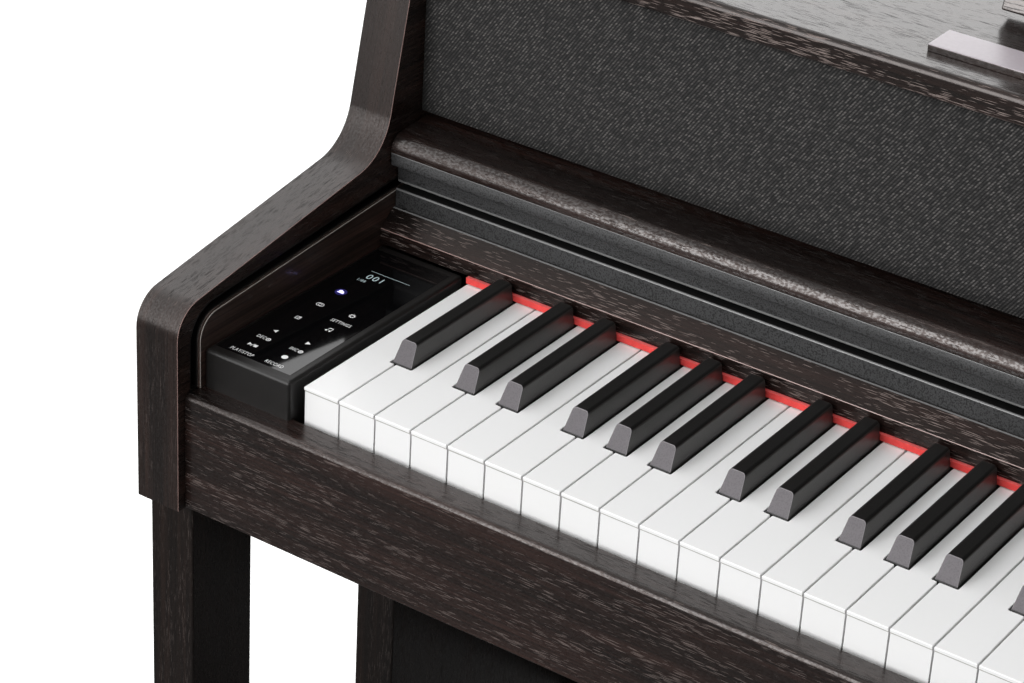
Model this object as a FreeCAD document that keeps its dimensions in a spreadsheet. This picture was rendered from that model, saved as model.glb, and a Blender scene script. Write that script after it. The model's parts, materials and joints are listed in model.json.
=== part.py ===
import FreeCAD, Part
import os
import re

import Sketcher
from FreeCAD import Placement, Rotation, Vector

# A digital piano on its stand: 88 hinged keys between two arms, a sliding lid over
# them, a music desk on top and three pedals below.  Millimetres.  The row frame has
# X along the keyboard, Y towards the back and Z up, with its origin on the floor
# under the middle of the piano.  Most outlines are drawn in the key frame, whose
# origin is the front edge of the white key tops: "y" runs back and "z" up from there.

SIZES = [
    # case
    ("depth", 500, "front of the arms to the back of the case"),
    ("key_height", 725, "floor to the white key tops"),
    ("key_setback", 26.2, "arm front to the front of the keys"),
    ("side_thickness", 28.8, "side panels and stand boards"),
    ("cheek_space", 64.8, "end key to the side panel"),
    ("arm_drop", 92.6, "key tops to the underside of the arms"),
    ("arm_nose_rise", 30.4, "key tops to the sharp corner of the arm nose"),
    ("arm_nose_radius", 20, "rounding of the arm nose"),
    ("arm_slope", 8.75, "degrees, rise of the arm's top edge"),
    ("shoulder_back", 154.6, "key front to the corner under the upper edge"),
    ("shoulder_radius", 33, "hollow curve between arm and upper edge"),
    ("upper_lean", 12.3, "degrees, backward lean of the upper edge"),
    ("case_rise", 182, "key tops to the underside of the top board"),
    ("top_front", 181, "key front to the front of the top board"),
    ("top_thickness", 15, "top board"),
    ("top_overhang", 3, "top board past each side panel"),
    ("top_edge_radius", 4, "rounding of the top board's upper front edge"),
    ("wood_edge_radius", 1.2, "small rounding of board edges"),
    ("fit", 0.3, "clearance between fitted pieces"),
    ("overreach", 1, "cutting tools past a face, and fused pieces into each other"),
    ("hair", 0.01, "keeps a cutting face off the face beside it"),
    # key slip and bed
    ("slip_thickness", 17.5, "key slip"),
    ("slip_gap", 3, "key slip to the key fronts"),
    ("slip_drop", 20.5, "key tops to the top of the slip"),
    ("slip_bead_radius", 3.5, "rounded front edge of the slip"),
    ("bed_thickness", 18, "key bed"),
    ("bed_drop", 72, "key tops to the top of the key bed"),
    ("back_thickness", 5, "back board"),
    ("back_inset", 3.8, "back board behind the ends of the side panels"),
    # keys
    ("white_count", 52, "white keys"),
    ("key_pitch", 23.5, "one white key to the next"),
    ("key_gap", 1, "gap between neighbouring white keys"),
    ("key_length", 219, "front of a white key to its tail"),
    ("stick_height", 16, "depth of a key behind its front"),
    ("apron_height", 24, "height of a white key's front"),
    ("apron_thickness", 7, "thickness of a white key's front"),
    ("lip_height", 2, "overhanging top of a white key's front"),
    ("lip_overhang", 0.8, "lip in front of the apron"),
    ("key_edge_radius", 0.5, "rounded upper edges of a white key"),
    ("notch_radius", 0.9, "rounded corners beside a black key"),
    ("black_rise", 12, "black key above the white tops"),
    ("black_foot_width", 12.6, "black key at the white tops"),
    ("black_top_width", 9.4, "black key at its top"),
    ("black_front", 51, "white key front to the foot of a black key"),
    ("black_slant", 7, "run of a black key's slanted front"),
    ("black_back", 147, "white key front to the end of a black key's cap"),
    ("black_edge_radius", 2.2, "rounded long upper edges of a black key"),
    ("black_clearance", 1, "gap round a black key"),
    ("offset_of_two", 2.3, "sideways offset in the group of two"),
    ("offset_of_three", 3.4, "sideways offset in the group of three"),
    ("pivot_back", 210, "key front to the key pivot rod"),
    ("pivot_drop", 9, "key tops to the middle of the pivot rod"),
    ("pivot_rod", 4, "diameter of the key pivot rod"),
    ("rod_clearance", 0.15, "radial clearance on the key pivot rod"),
    # key chassis
    ("chassis_plate", 2, "sheet of the key chassis"),
    ("chassis_side", 2, "chassis past the end keys"),
    ("chassis_tail", 8, "chassis plate behind the keys"),
    ("bracket_thickness", 2, "end bracket that holds the pivot rod"),
    ("bracket_depth", 20, "end bracket front to back"),
    ("bracket_drop", 3, "key tops to the top of an end bracket"),
    ("front_rail_back", 20, "key front to the front guide rail"),
    ("front_rail_depth", 24, "front guide rail"),
    ("key_dip_room", 34, "key tops to the top of the front guide rail"),
    ("rail_depth", 14, "rear rail behind the pivot"),
    ("rail_clearance", 1, "rear rail below the keys"),
    # nameboard and rest strip
    ("nameboard_back", 150, "key front to the nameboard face"),
    ("nameboard_lift", 4.5, "key tops to the underside of the nameboard"),
    ("nameboard_face", 13.9, "key tops to the edge of the bevel"),
    ("nameboard_rise", 23.4, "key tops to the top of the nameboard"),
    ("nameboard_bevel", 11.5, "depth of the bevel"),
    ("nameboard_depth", 13.2, "nameboard"),
    ("felt_depth", 4, "felt strip"),
    ("felt_proud", 2, "felt in front of the nameboard"),
    ("felt_lift", 0.6, "felt above the key tops"),
    ("felt_gap", 0.2, "felt to the underside of the nameboard"),
    ("nameboard_edge_radius", 0.8, "rounding between face and bevel"),
    ("rest_rise", 34.5, "key tops to the top of the rest strip"),
    ("rest_depth", 14, "rest strip"),
    ("rest_edge_radius", 1.2, "rounded upper front edge of the rest strip"),
    # lid and its track
    ("track_front", 12.8, "key front to the upright part of the track, forwards"),
    ("track_corner_rise", 24.5, "key tops to the corner of the track's middle line"),
    ("track_slope", 3.75, "degrees, rise of the track towards the back"),
    ("track_end", 372, "key front to the back end of the track"),
    ("track_width", 6.4, "outside width of the track"),
    ("slot_width", 4.8, "width of the slot in the track"),
    ("track_depth", 8, "depth of the track in the side panel"),
    ("slot_depth", 7, "depth of the slot"),
    ("track_radius", 18, "bend of the track's middle line"),
    ("track_fit", 0.1, "clearance round the track in its groove"),
    ("track_sole", 0.8, "closed lower end of the track"),
    ("inner_board", 2, "lining board on the side panel under the track"),
    ("lid_nose", 159.6, "key front to the nose of the open lid"),
    ("lid_over_track", 22.05, "underside of the lid above the track"),
    ("lid_length", 213, "nose to the back edge of the lid"),
    ("lid_thickness", 10, "lid board"),
    ("lid_nose_radius", 9, "rounded nose of the lid"),
    ("lid_gap", 0.8, "lid to each side panel"),
    ("lip_drop", 8.3, "front lip of the lid trim"),
    ("lip_set", 0.2, "lip face behind the lid's nose"),
    ("lip_edge_radius", 1, "rounded lower edge of the lip"),
    ("leg_edge_radius", 0.8, "rounded lower edge of the trim's leg"),
    ("leg_set", 6.5, "lip face to the face of the trim's leg"),
    ("leg_drop", 21.8, "leg of the lid trim"),
    ("trim_wall", 4, "lid trim"),
    ("trim_flange", 30, "lid trim's flange under the lid"),
    ("pin_diameter", 4, "lid guide pins"),
    ("pin_set", 14.6, "nose to the front guide pins"),
    ("pin_span", 185, "front pins to back pins"),
    ("pin_reach", 5.5, "length of a guide pin in its slot"),
    ("pin_plate", 1.5, "plate that carries a guide pin"),
    ("pin_plate_length", 8, "length of that plate"),
    ("pin_plate_gap", 0.5, "that plate to the side panel"),
    ("pin_plate_shift", 0.6, "middle of that plate behind its pin"),
    ("pin_plate_radius", 1.8, "rounded lower corners of that plate"),
    # cheek blocks and controls
    ("cheek_forward", 6.5, "cheek block in front of the keys"),
    ("cheek_rise", 3, "key tops to the top of a cheek block"),
    ("cheek_key_gap", 4.3, "cheek block to the end key"),
    ("cheek_radius", 2.2, "rounded edges of a cheek block"),
    ("cheek_wall", 3, "wall of a cheek block"),
    ("cheek_hollow_drop", 12, "key tops to the hollow in a cheek block"),
    ("panel_width", 50.6, "touch panel"),
    ("panel_length", 144.6, "touch panel"),
    ("panel_thickness", 1.5, "touch panel"),
    ("panel_side", 2.5, "left edge of the cheek block to the touch panel"),
    ("panel_front", 7, "front of the cheek block to the touch panel"),
    ("panel_sink", 0.2, "touch panel below the cheek block's top"),
    ("panel_fit", 0.2, "clearance round the touch panel"),
    ("button_diameter", 13, "power button"),
    ("button_rise", 1.8, "power button above the cheek block"),
    ("button_depth", 8, "power button below the cheek block's top"),
    ("button_travel", 1.5, "power button"),
    ("button_room", 0.5, "free room under the pressed power button"),
    ("button_edge_radius", 0.8, "rounded upper edge of the power button"),
    ("button_back", 118, "key front to the power button"),
    ("knob_diameter", 26, "volume knob"),
    ("knob_height", 14, "volume knob"),
    ("knob_gap", 0.4, "volume knob above the cheek block"),
    ("knob_taper", 1, "foot of the knob wider than its top, at each side"),
    ("knob_edge_radius", 1.5, "rounded upper edge of the knob"),
    ("mark_width", 1.2, "pointer line cut in the knob"),
    ("mark_depth", 0.8, "pointer line cut in the knob"),
    ("knob_back", 62, "key front to the volume knob"),
    ("knob_shaft", 6, "shaft of the volume knob"),
    ("shaft_clearance", 0.1, "radial clearance of shafts"),
    ("knob_shaft_depth", 12, "knob shaft in the cheek block"),
    # speakers
    ("cloth_back", 188, "key front to the speaker cloth"),
    ("cloth_thickness", 2, "speaker cloth on its foam"),
    ("lid_room", 3.28, "speaker baffle above the lid"),
    ("cloth_gap", 0.4, "speaker cloth to each side panel"),
    ("baffle_thickness", 12, "speaker baffle"),
    ("speaker_span", 430, "middle of the piano to each speaker"),
    ("speaker_hole", 84, "speaker opening in the baffle"),
    ("speaker_flange", 98, "speaker frame"),
    ("speaker_depth", 38, "speaker behind the baffle"),
    ("magnet_diameter", 58, "speaker magnet"),
    ("magnet_depth", 14, "speaker magnet"),
    ("flange_thickness", 4, "speaker frame"),
    ("basket_step", 4, "magnet's edge to the narrow end of the basket"),
    ("cone_surround", 3, "rim round the speaker cone"),
    ("cone_depth", 18, "speaker cone"),
    ("cone_bottom_radius", 9, "speaker cone"),
    # music ledge and desk
    ("ledge_width", 742, "music ledge"),
    ("ledge_depth", 24, "music ledge"),
    ("ledge_height", 4, "music ledge"),
    ("ledge_back", 201, "key front to the music ledge"),
    ("ledge_edge_radius", 0.8, "rounded upper edges of the music ledge"),
    ("desk_width", 722, "music desk"),
    ("desk_height", 190, "music desk"),
    ("desk_thickness", 12, "music desk"),
    ("desk_back", 262, "key front to the desk's lower front edge"),
    ("desk_lift", 6, "top board to the desk's lower front edge"),
    ("desk_lean", 20, "degrees, backward lean of the raised desk"),
    ("desk_corner_radius", 6, "rounded corners of the desk"),
    ("hinge_span", 250, "middle of the piano to each desk hinge"),
    ("hinge_pin", 4, "diameter of a desk hinge pin"),
    ("hinge_set", 5, "hinge pin behind the desk"),
    ("hinge_rise", 5.2, "top board to the middle of the hinge pin"),
    ("hinge_barrel", 8, "outside diameter of a hinge barrel"),
    ("hinge_length", 24, "moving barrel of a desk hinge"),
    ("hinge_ear", 4, "fixed ear of a desk hinge"),
    ("hinge_plate", 1.2, "leaf of a desk hinge"),
    ("hinge_leaf", 20, "length of a desk hinge leaf"),
    ("hinge_wing", 6, "fixed plate of a desk hinge beside its ear"),
    ("hinge_heel", 4, "fixed plate of a desk hinge behind its ear"),
    # stand
    ("leg_width", 30, "front leg across"),
    ("leg_depth", 52, "front leg front to back"),
    ("leg_front", 15.7, "key front to the front of the leg, forwards"),
    ("rear_board_front", 180, "key front to the stand's side board"),
    ("rear_board_inset", 4, "stand's side board before the back of the case"),
    ("foot_height", 46, "foot bar"),
    ("foot_width", 34, "foot bar"),
    ("foot_radius", 6, "rounded ends of a foot bar"),
    ("foot_inset", 5, "foot bar behind the front and before the back"),
    ("foot_side", 1, "foot bar past the stand's side boards"),
    ("glide_height", 8, "felt-faced glides"),
    ("glide_diameter", 26, "felt-faced glides"),
    ("glide_inset", 40, "glide to the end of the foot bar"),
    ("low_panel_thickness", 15, "lower back panel"),
    ("low_panel_back", 430, "key front to the lower back panel"),
    ("low_panel_height", 390, "lower back panel"),
    # pedals
    ("pedal_box_height", 88, "pedal box"),
    ("pedal_box_depth", 120, "pedal box"),
    ("pedal_box_front", 308, "key front to the pedal box"),
    ("pedal_box_lift", 62, "floor to the pedal box"),
    ("pedal_box_wall", 10, "pedal box"),
    ("pedal_pitch", 78, "one pedal to the next"),
    ("pedal_width", 25, "pedal at its toe"),
    ("pedal_neck", 15, "pedal where it leaves the box"),
    ("pedal_reach", 96, "pedal in front of the box"),
    ("pedal_tail", 78, "pedal inside the box"),
    ("pedal_neck_length", 40.3, "pedal box to where the neck widens"),
    ("pedal_toe_start", 59.5, "pedal box to the full width of the toe"),
    ("toe_flat", 1, "half of the straight end of a toe"),
    ("pedal_thickness", 9, "pedal"),
    ("pedal_lift", 20, "pedal above the underside of the box"),
    ("pedal_shaft_diameter", 8, "pedal shaft"),
    ("pedal_shaft_back", 70, "box front to the pedal shaft"),
    ("pedal_slot", 22, "height of the slot for a pedal"),
    ("pedal_side_gap", 2, "pedal to each side of its slot"),
    ("pedal_top_gap", 3, "pedal to the top of its slot"),
    ("shaft_end", 10, "pedal shaft past the outer pedals"),
    ("post_thickness", 4, "posts that hold the pedal shaft"),
    ("post_depth", 18, "posts that hold the pedal shaft"),
    ("post_gap", 4, "outer pedals to the outer posts"),
    ("post_rise", 4, "posts above the pedals"),
    ("pedal_edge_radius", 2, "rounded edges of a pedal"),
    ("prop_foot_diameter", 30, "adjustable foot under the pedal box"),
    ("prop_rod_diameter", 10, "rod of the adjustable foot"),
    # boards, sockets and screws
    ("jack_plate_width", 150, "socket plate"),
    ("jack_plate_height", 44, "socket plate"),
    ("jack_plate_thickness", 2, "socket plate"),
    ("jack_plate_side", 400, "middle of the piano to the socket plate"),
    ("jack_plate_lift", 24, "key bed to the socket plate"),
    ("jack_plate_set", 1, "socket plate behind the back board's front face"),
    ("jack_barrel", 11, "barrel of a socket"),
    ("jack_length", 3, "barrel of a socket"),
    ("jack_first", 20, "edge of the socket plate to the first socket"),
    ("jack_pitch", 24, "one socket to the next"),
    ("inlet_side", 46, "far edge of the socket plate to the power inlet"),
    ("inlet_width", 30, "power inlet"),
    ("inlet_height", 24, "power inlet"),
    ("inlet_depth", 18, "power inlet"),
    ("inlet_sink", 14, "power inlet in front of the back board"),
    ("inlet_lift", 10, "lower edge of the socket plate to the power inlet"),
    ("inlet_wall", 3, "wall of the power inlet"),
    ("board_length", 320, "main circuit board"),
    ("board_depth", 110, "main circuit board"),
    ("board_thickness", 1.6, "circuit boards"),
    ("board_lift", 8, "circuit board above the key bed"),
    ("board_side", 120, "side panel to the main circuit board"),
    ("board_back", 40, "key tails to the main circuit board"),
    ("board_post", 7, "diameter of a circuit board post"),
    ("board_post_inset", 8, "board corner to the middle of a post"),
    ("screw_diameter", 4, "back board screws"),
    ("screw_head", 9, "head of a back board screw"),
    ("screw_head_height", 2.4, "head of a back board screw"),
    ("screw_inset", 9, "screw row to the edge of the back board"),
    ("screw_side", 30, "end screws to the side panels"),
    ("screw_bite", 0.5, "screw shank into its own head"),
]

# Parts on the main circuit board: place on it, then length, width and height.
CHIPS = [
    (30, 20, 28, 28, 3),
    (90, 30, 40, 20, 4),
    (170, 25, 24, 50, 18),
    (230, 20, 60, 40, 22),
    (60, 70, 90, 20, 6),
]

# Places that follow from the driving sizes.
FORMULAS = {
    "keys_half": "white_count * key_pitch / 2",
    "inner_half": "keys_half + cheek_space",
    "outer_half": "inner_half + side_thickness",
    "lined_half": "inner_half - inner_board - fit",
    "key_front": "key_setback - depth / 2",
    "case_back": "depth - key_setback",
    "back_face": "case_back - back_inset",
    "back_front": "back_face - back_thickness",
    "bed_bottom": "bed_drop + bed_thickness",
    "slip_back": "-slip_gap",
    "slip_front": "-slip_gap - slip_thickness",
    "upper_foot_z": "arm_nose_rise + (shoulder_back + key_setback) * tan(arm_slope)",
    "upper_top_y": "shoulder_back + (case_rise - upper_foot_z) * tan(upper_lean)",
    "lid_z": "track_corner_rise + (lid_nose + track_front) * tan(track_slope)"
             " + lid_over_track / cos(track_slope)",
    "cheek_width": "cheek_space - inner_board - fit - cheek_key_gap",
    "cloth_half": "inner_half - cloth_gap",
    "desk_foot_z": "case_rise + top_thickness + desk_lift",
    "top_face": "case_rise + top_thickness",
    "hinge_z": "top_face + hinge_rise",
    "hinge_v": "(hinge_rise - desk_lift + (desk_thickness + hinge_set) * sin(desk_lean))"
               " / cos(desk_lean)",
    "hinge_y": "desk_back + (desk_thickness + hinge_set) * cos(desk_lean) + hinge_v * sin(desk_lean)",
    "foot_bottom": "glide_height",
    "foot_top": "glide_height + foot_height",
    "stand_top": "key_height - arm_drop",
    "foot_y": "foot_inset - depth / 2",
    "foot_length": "depth - 2 * foot_inset",
    "low_panel_top": "stand_top - fit",
    "pedal_z": "pedal_box_lift + pedal_lift",
    "pedal_box_y": "key_front + pedal_box_front",
    "pedal_shaft_y": "pedal_box_y + pedal_shaft_back",
    "baffle_y": "cloth_back + cloth_thickness + fit",
    "cloth_rise": "lid_z + (baffle_y + baffle_thickness - lid_nose) * tan(track_slope)"
                  " + lid_thickness / cos(track_slope) + lid_room",
    "speaker_z": "(cloth_rise + case_rise) / 2",
    "jack_z": "key_height - bed_drop + jack_plate_lift",
}

OCTAVE = "cdefgab"
SINGLE_WHITES = 8
SINGLE_BLACKS = 5
MIDDLE_WHITES = 30
MIDDLE_BLACKS = 21
SCREW_COLUMNS = 5
SOCKETS = 3

doc = FreeCAD.newDocument("digital_piano")
sheet = doc.addObject("Spreadsheet::Sheet", "sizes")
sheet.set("A1", "size")
sheet.set("B1", "value")
sheet.set("C1", "what it sets")
for row, (alias, value, meaning) in enumerate(SIZES, start=2):
    sheet.set("A%d" % row, alias)
    sheet.set("B%d" % row, str(value))
    sheet.setAlias("B%d" % row, alias)
    sheet.set("C%d" % row, meaning)
doc.recompute()
reader = doc.addObject("App::FeaturePython", "reader")

ALIASES = {alias for alias, value, meaning in SIZES}
WORD = re.compile(r"[a-z][a-z_0-9]*")
nodes = []


def spell(match):
    word = match.group(0)
    if word in FORMULAS:
        return "(" + formula(FORMULAS[word]) + ")"
    if word in ALIASES:
        return "sizes." + word
    return word


def formula(text):
    """A size formula with every name written out for the expression engine."""
    return WORD.sub(spell, str(text))


def size(text):
    """The value that a size formula has now."""
    return float(reader.evalExpression(formula(text)))


def bind(item, **formulas):
    for name, text in formulas.items():
        item.setExpression(name, formula(text))


def place(item, x, y, z):
    for axis, text in (("x", x), ("y", y), ("z", z)):
        item.setExpression("Placement.Base." + axis, formula(text))
    return item


def turn(item, axis, angle):
    """Turn an item about its own origin by an angle that is a size formula."""
    item.Placement = Placement(Vector(), Rotation(axis, 1.0))
    item.setExpression("Placement.Rotation.Angle", formula(angle))


def node(name, item):
    """Make an item a sub-part of the piano with its own file."""
    item.Label = name
    nodes.append(item)
    return item


def block(name, x, y, z, length, width, height):
    item = doc.addObject("Part::Box", name)
    bind(item, Length=length, Width=width, Height=height)
    return place(item, x, y, z)


def rod(name, axis, x, y, z, diameter, length):
    """A cylinder from the point x, y, z along one of the row's axes."""
    item = doc.addObject("Part::Cylinder", name)
    bind(item, Radius="(%s) / 2" % diameter, Height=length)
    turns = {
        "x": Rotation(Vector(0, 1, 0), 90),
        "y": Rotation(Vector(1, 0, 0), -90),
        "z": Rotation(),
    }
    item.Placement = Placement(Vector(), turns[axis])
    return place(item, x, y, z)


def cut(name, base, *tools):
    for count, tool in enumerate(tools):
        item = doc.addObject("Part::Cut", "%s_cut%d" % (name, count))
        item.Base = base
        item.Tool = tool
        base = item
    return base


def fuse(name, *items):
    item = doc.addObject("Part::MultiFuse", name)
    item.Shapes = list(items)
    return item


def group(name, items):
    item = doc.addObject("Part::Compound", name)
    item.Links = list(items)
    return item


def mirror(name, item):
    """The same piece on the other side of the piano."""
    other = doc.addObject("Part::Mirroring", name)
    other.Source = item
    other.Base = Vector(0, 0, 0)
    other.Normal = Vector(1, 0, 0)
    return other


def both_sides(name, item):
    return group(name, [item, mirror(name + "_other", item)])


def sketch(body, name, plane, outlines):
    """Closed outlines whose corners are all driven by size formulas."""
    drawing = body.newObject("Sketcher::SketchObject", name)
    role = next(item for item in body.Origin.OriginFeatures if item.Role == plane)
    drawing.AttachmentSupport = (role, [""])
    drawing.MapMode = "FlatFace"
    for points in outlines:
        first = drawing.GeometryCount
        corners = [Vector(size(u), size(v), 0) for u, v in points]
        for start, end in zip(corners, corners[1:] + corners[:1]):
            drawing.addGeometry(Part.LineSegment(start, end), False)
        for index, (u, v) in enumerate(points):
            line = first + index
            following = first + (index + 1) % len(points)
            drawing.addConstraint(Sketcher.Constraint("Coincident", line, 2, following, 1))
            for kind, text in (("DistanceX", u), ("DistanceY", v)):
                value = size(text)
                rule = drawing.addConstraint(Sketcher.Constraint(kind, -1, 1, line, 1, value))
                drawing.setExpression("Constraints[%d]" % rule, formula(text))
    return drawing


def profile(name, plane, points, length, at, backwards=False):
    """A body padded from one outline: a board, strip or block."""
    body = doc.addObject("PartDesign::Body", name)
    pad = body.newObject("PartDesign::Pad", name + "_pad")
    pad.Profile = sketch(body, name + "_outline", plane, [points])
    pad.Reversed = backwards
    bind(pad, Length=length)
    place(body, *at)
    return body


def pocket(body, name, plane, outlines):
    """Cut outlines right through a body, both ways from their plane."""
    feature = body.newObject("PartDesign::Pocket", name)
    feature.Profile = sketch(body, name + "_outline", plane, outlines)
    feature.Type = "ThroughAll"
    feature.Midplane = True
    return feature


def soften(body, radius, wanted):
    """Round the edges of a body that the test picks."""
    doc.recompute()
    last = body.Tip
    names = ["Edge%d" % (i + 1) for i, edge in enumerate(last.Shape.Edges) if wanted(edge)]
    if not names:
        raise ValueError("%s has no such edge" % body.Name)
    feature = body.newObject("PartDesign::Fillet", body.Name + "_round")
    feature.Base = (last, names)
    bind(feature, Radius=radius)
    return body


def near(value, wanted):
    return abs(value - wanted) < 1e-4


def along(axis, u, v):
    """Edges along an axis through the point u, v of the plane across it."""
    others = [name for name in "xyz" if name != axis]
    wanted = (size(u), size(v))

    def test(edge):
        middle = edge.BoundBox.Center
        box = edge.BoundBox
        spans = {"x": box.XLength, "y": box.YLength, "z": box.ZLength}
        place_now = [getattr(middle, name) for name in others]
        if spans[axis] < 1e-3 or any(spans[name] > 1e-3 for name in others):
            return False
        return all(near(a, b) for a, b in zip(place_now, wanted))

    return test


def level(axis, text):
    """Edges that lie wholly in one plane across an axis."""
    wanted = size(text)

    def test(edge):
        box = edge.BoundBox
        low = getattr(box, axis.upper() + "Min")
        high = getattr(box, axis.upper() + "Max")
        return near(low, wanted) and near(high, wanted)

    return test


def either(*tests):
    return lambda edge: any(test(edge) for test in tests)


# --- keys -------------------------------------------------------------------


def white_letter(index):
    return OCTAVE[(index + 5) % 7]


def white_octave(index):
    return (index + 5) // 7


def black_after(index):
    """Whether a black key stands between this white key and the next."""
    return index < size("white_count") - 1 and white_letter(index) in "acdfg"


def black_middle(index):
    """Middle of the black key after a white key, from the left end of the keys."""
    offsets = {
        "c": "- offset_of_two",
        "d": "+ offset_of_two",
        "f": "- offset_of_three",
        "g": "+ 0",
        "a": "+ offset_of_three",
    }
    return "%d * key_pitch %s" % (index + 1, offsets[white_letter(index)])


def white_key(index):
    """Wide head, narrow tail between the black keys, overhanging lip and apron."""
    left = "%d * key_pitch + key_gap / 2" % index
    right = "%d * key_pitch - key_gap / 2" % (index + 1)
    notch = "black_front - black_clearance"
    room = "(black_foot_width / 2 + black_clearance)"
    points = [(left, "0"), (right, "0")]
    corners = []
    if black_after(index):
        tail = "%s - %s" % (black_middle(index), room)
        points += [(right, notch), (tail, notch), (tail, "key_length")]
        corners += [right, tail]
    else:
        points.append((right, "key_length"))
    if index > 0 and black_after(index - 1):
        tail = "%s + %s" % (black_middle(index - 1), room)
        points += [(tail, "key_length"), (tail, notch), (left, notch)]
        corners += [tail, left]
    else:
        points.append((left, "key_length"))
    name = "white_%02d" % index
    body = profile(name, "XY_Plane", points, "apron_height",
                   ("-keys_half", "key_front", "key_height"), backwards=True)
    low = "-apron_height - overreach"
    past_tail = "key_length + overreach"
    under = [("apron_thickness", low), (past_tail, low),
             (past_tail, "-stick_height"), ("apron_thickness", "-stick_height")]
    below_lip = [("-overreach", low), ("lip_overhang", low),
                 ("lip_overhang", "-lip_height"), ("-overreach", "-lip_height")]
    pocket(body, name + "_under", "YZ_Plane", [under, below_lip])
    if corners:
        soften(body, "notch_radius", either(*[along("z", corner, notch) for corner in corners]))
    return soften(body, "key_edge_radius", level("z", "0"))


def black_key(index):
    """A tapered cap with a slanted front on a narrower stick."""
    middle = black_middle(index)
    name = "black_%02d" % index
    half_foot = "black_foot_width / 2"
    half_top = "black_top_width / 2"
    body = doc.addObject("PartDesign::Body", name)
    stick = body.newObject("PartDesign::Pad", name + "_stick")
    stick.Profile = sketch(body, name + "_stick_outline", "XZ_Plane", [[
        ("-" + half_top, "-stick_height"), (half_top, "-stick_height"),
        (half_top, "-overreach"), ("-" + half_top, "-overreach")]])
    stick.Reversed = True
    bind(stick, Length="key_length - black_front")
    cap = body.newObject("PartDesign::Pad", name + "_cap")
    cap.Profile = sketch(body, name + "_cap_outline", "XZ_Plane", [[
        ("-" + half_foot, "-overreach"), (half_foot, "-overreach"),
        (half_top, "black_rise"), ("-" + half_top, "black_rise")]])
    cap.Reversed = True
    bind(cap, Length="black_back - black_front")
    pocket(body, name + "_slant", "YZ_Plane", [[
        ("-overreach", "-overreach"), ("0", "-overreach"), ("black_slant", "black_rise + hair"),
        ("black_slant", "black_rise + overreach"), ("-overreach", "black_rise + overreach")]])
    place(body, "%s - keys_half" % middle, "key_front + black_front", "key_height")
    doc.recompute()
    top = size("black_rise")

    def long_upper_edges(edge):
        box = edge.BoundBox
        return near(box.ZMin, top) and near(box.XMin, box.XMax)

    return soften(body, "black_edge_radius", long_upper_edges)


def key_set(name, keys):
    """Keys that share a node, bored for the pivot rod."""
    together = keys[0] if len(keys) == 1 else group(name + "_set", keys)
    bore = rod(name + "_bore", "x", "-keys_half", "key_front + pivot_back",
               "key_height - pivot_drop", "pivot_rod + 2 * rod_clearance", "2 * keys_half")
    return node(name, cut(name, together, bore))


def make_keys():
    count = round(size("white_count"))
    whites = [white_key(index) for index in range(count)]
    afters = [index for index in range(count) if black_after(index)]
    blacks = [black_key(index) for index in afters]
    for index in range(SINGLE_WHITES):
        key_set("key_%s%d" % (white_letter(index), white_octave(index)), [whites[index]])
    for number in range(SINGLE_BLACKS):
        index = afters[number]
        key_set("key_%s_sharp%d" % (white_letter(index), white_octave(index)), [blacks[number]])
    key_set("keys_white_middle", whites[SINGLE_WHITES:MIDDLE_WHITES])
    key_set("keys_white_upper", whites[MIDDLE_WHITES:])
    key_set("keys_black_middle", blacks[SINGLE_BLACKS:MIDDLE_BLACKS])
    key_set("keys_black_upper", blacks[MIDDLE_BLACKS:])


def make_key_chassis():
    """Steel plate with a front guide rail, a rear rail and the key pivot rod."""
    half = "(keys_half + chassis_side)"
    plate = block("chassis_base", "-" + half, "key_front", "key_height - bed_drop",
                  "2 * " + half, "key_length + chassis_tail", "chassis_plate")
    front = block("chassis_front", "-" + half, "key_front + front_rail_back",
                  "key_height - bed_drop + chassis_plate", "2 * " + half,
                  "front_rail_depth", "bed_drop - chassis_plate - key_dip_room")
    rear = block("chassis_rear", "-" + half, "key_front + pivot_back + pivot_rod",
                 "key_height - bed_drop + chassis_plate", "2 * " + half,
                 "rail_depth", "bed_drop - chassis_plate - stick_height - rail_clearance")
    pivot = rod("key_pivot_rod", "x", "-" + half, "key_front + pivot_back",
                "key_height - pivot_drop", "pivot_rod", "2 * " + half)
    ends = []
    for side, x in (("left", "-%s" % half), ("right", "%s - bracket_thickness" % half)):
        ends.append(block("chassis_end_" + side, x, "key_front + pivot_back - bracket_depth / 2",
                          "key_height - bed_drop + chassis_plate", "bracket_thickness",
                          "bracket_depth", "bed_drop - chassis_plate - bracket_drop"))
    node("key_chassis", fuse("chassis", plate, front, rear, pivot, *ends))


# --- case -------------------------------------------------------------------


def track_outline(half, foot):
    """Bent strip of a given half width round the track's middle line."""
    rise = "track_corner_rise %s (%s) * (1 / cos(track_slope) - tan(track_slope))"
    end = ("track_corner_rise + (track_end + track_front) * tan(track_slope)"
           " %s (%s) / cos(track_slope)")
    outer = "-track_front - (%s)" % half
    inner = "-track_front + (%s)" % half
    return [(outer, foot), (inner, foot), (inner, rise % ("-", half)),
            ("track_end", end % ("-", half)), ("track_end", end % ("+", half)),
            (outer, rise % ("+", half))]


def track_shape(name, half, foot, depth, x):
    points = track_outline(half, foot)
    body = profile(name, "YZ_Plane", points, depth, (x, "key_front", "key_height"))
    soften(body, "track_radius - (%s)" % half, along("x", *points[2]))
    return soften(body, "track_radius + (%s)" % half, along("x", *points[5]))


def side_outline():
    return [
        ("-key_setback", "-arm_drop"),
        ("case_back", "-arm_drop"),
        ("case_back", "case_rise"),
        ("upper_top_y", "case_rise"),
        ("shoulder_back", "upper_foot_z"),
        ("-key_setback", "arm_nose_rise"),
    ]


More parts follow.
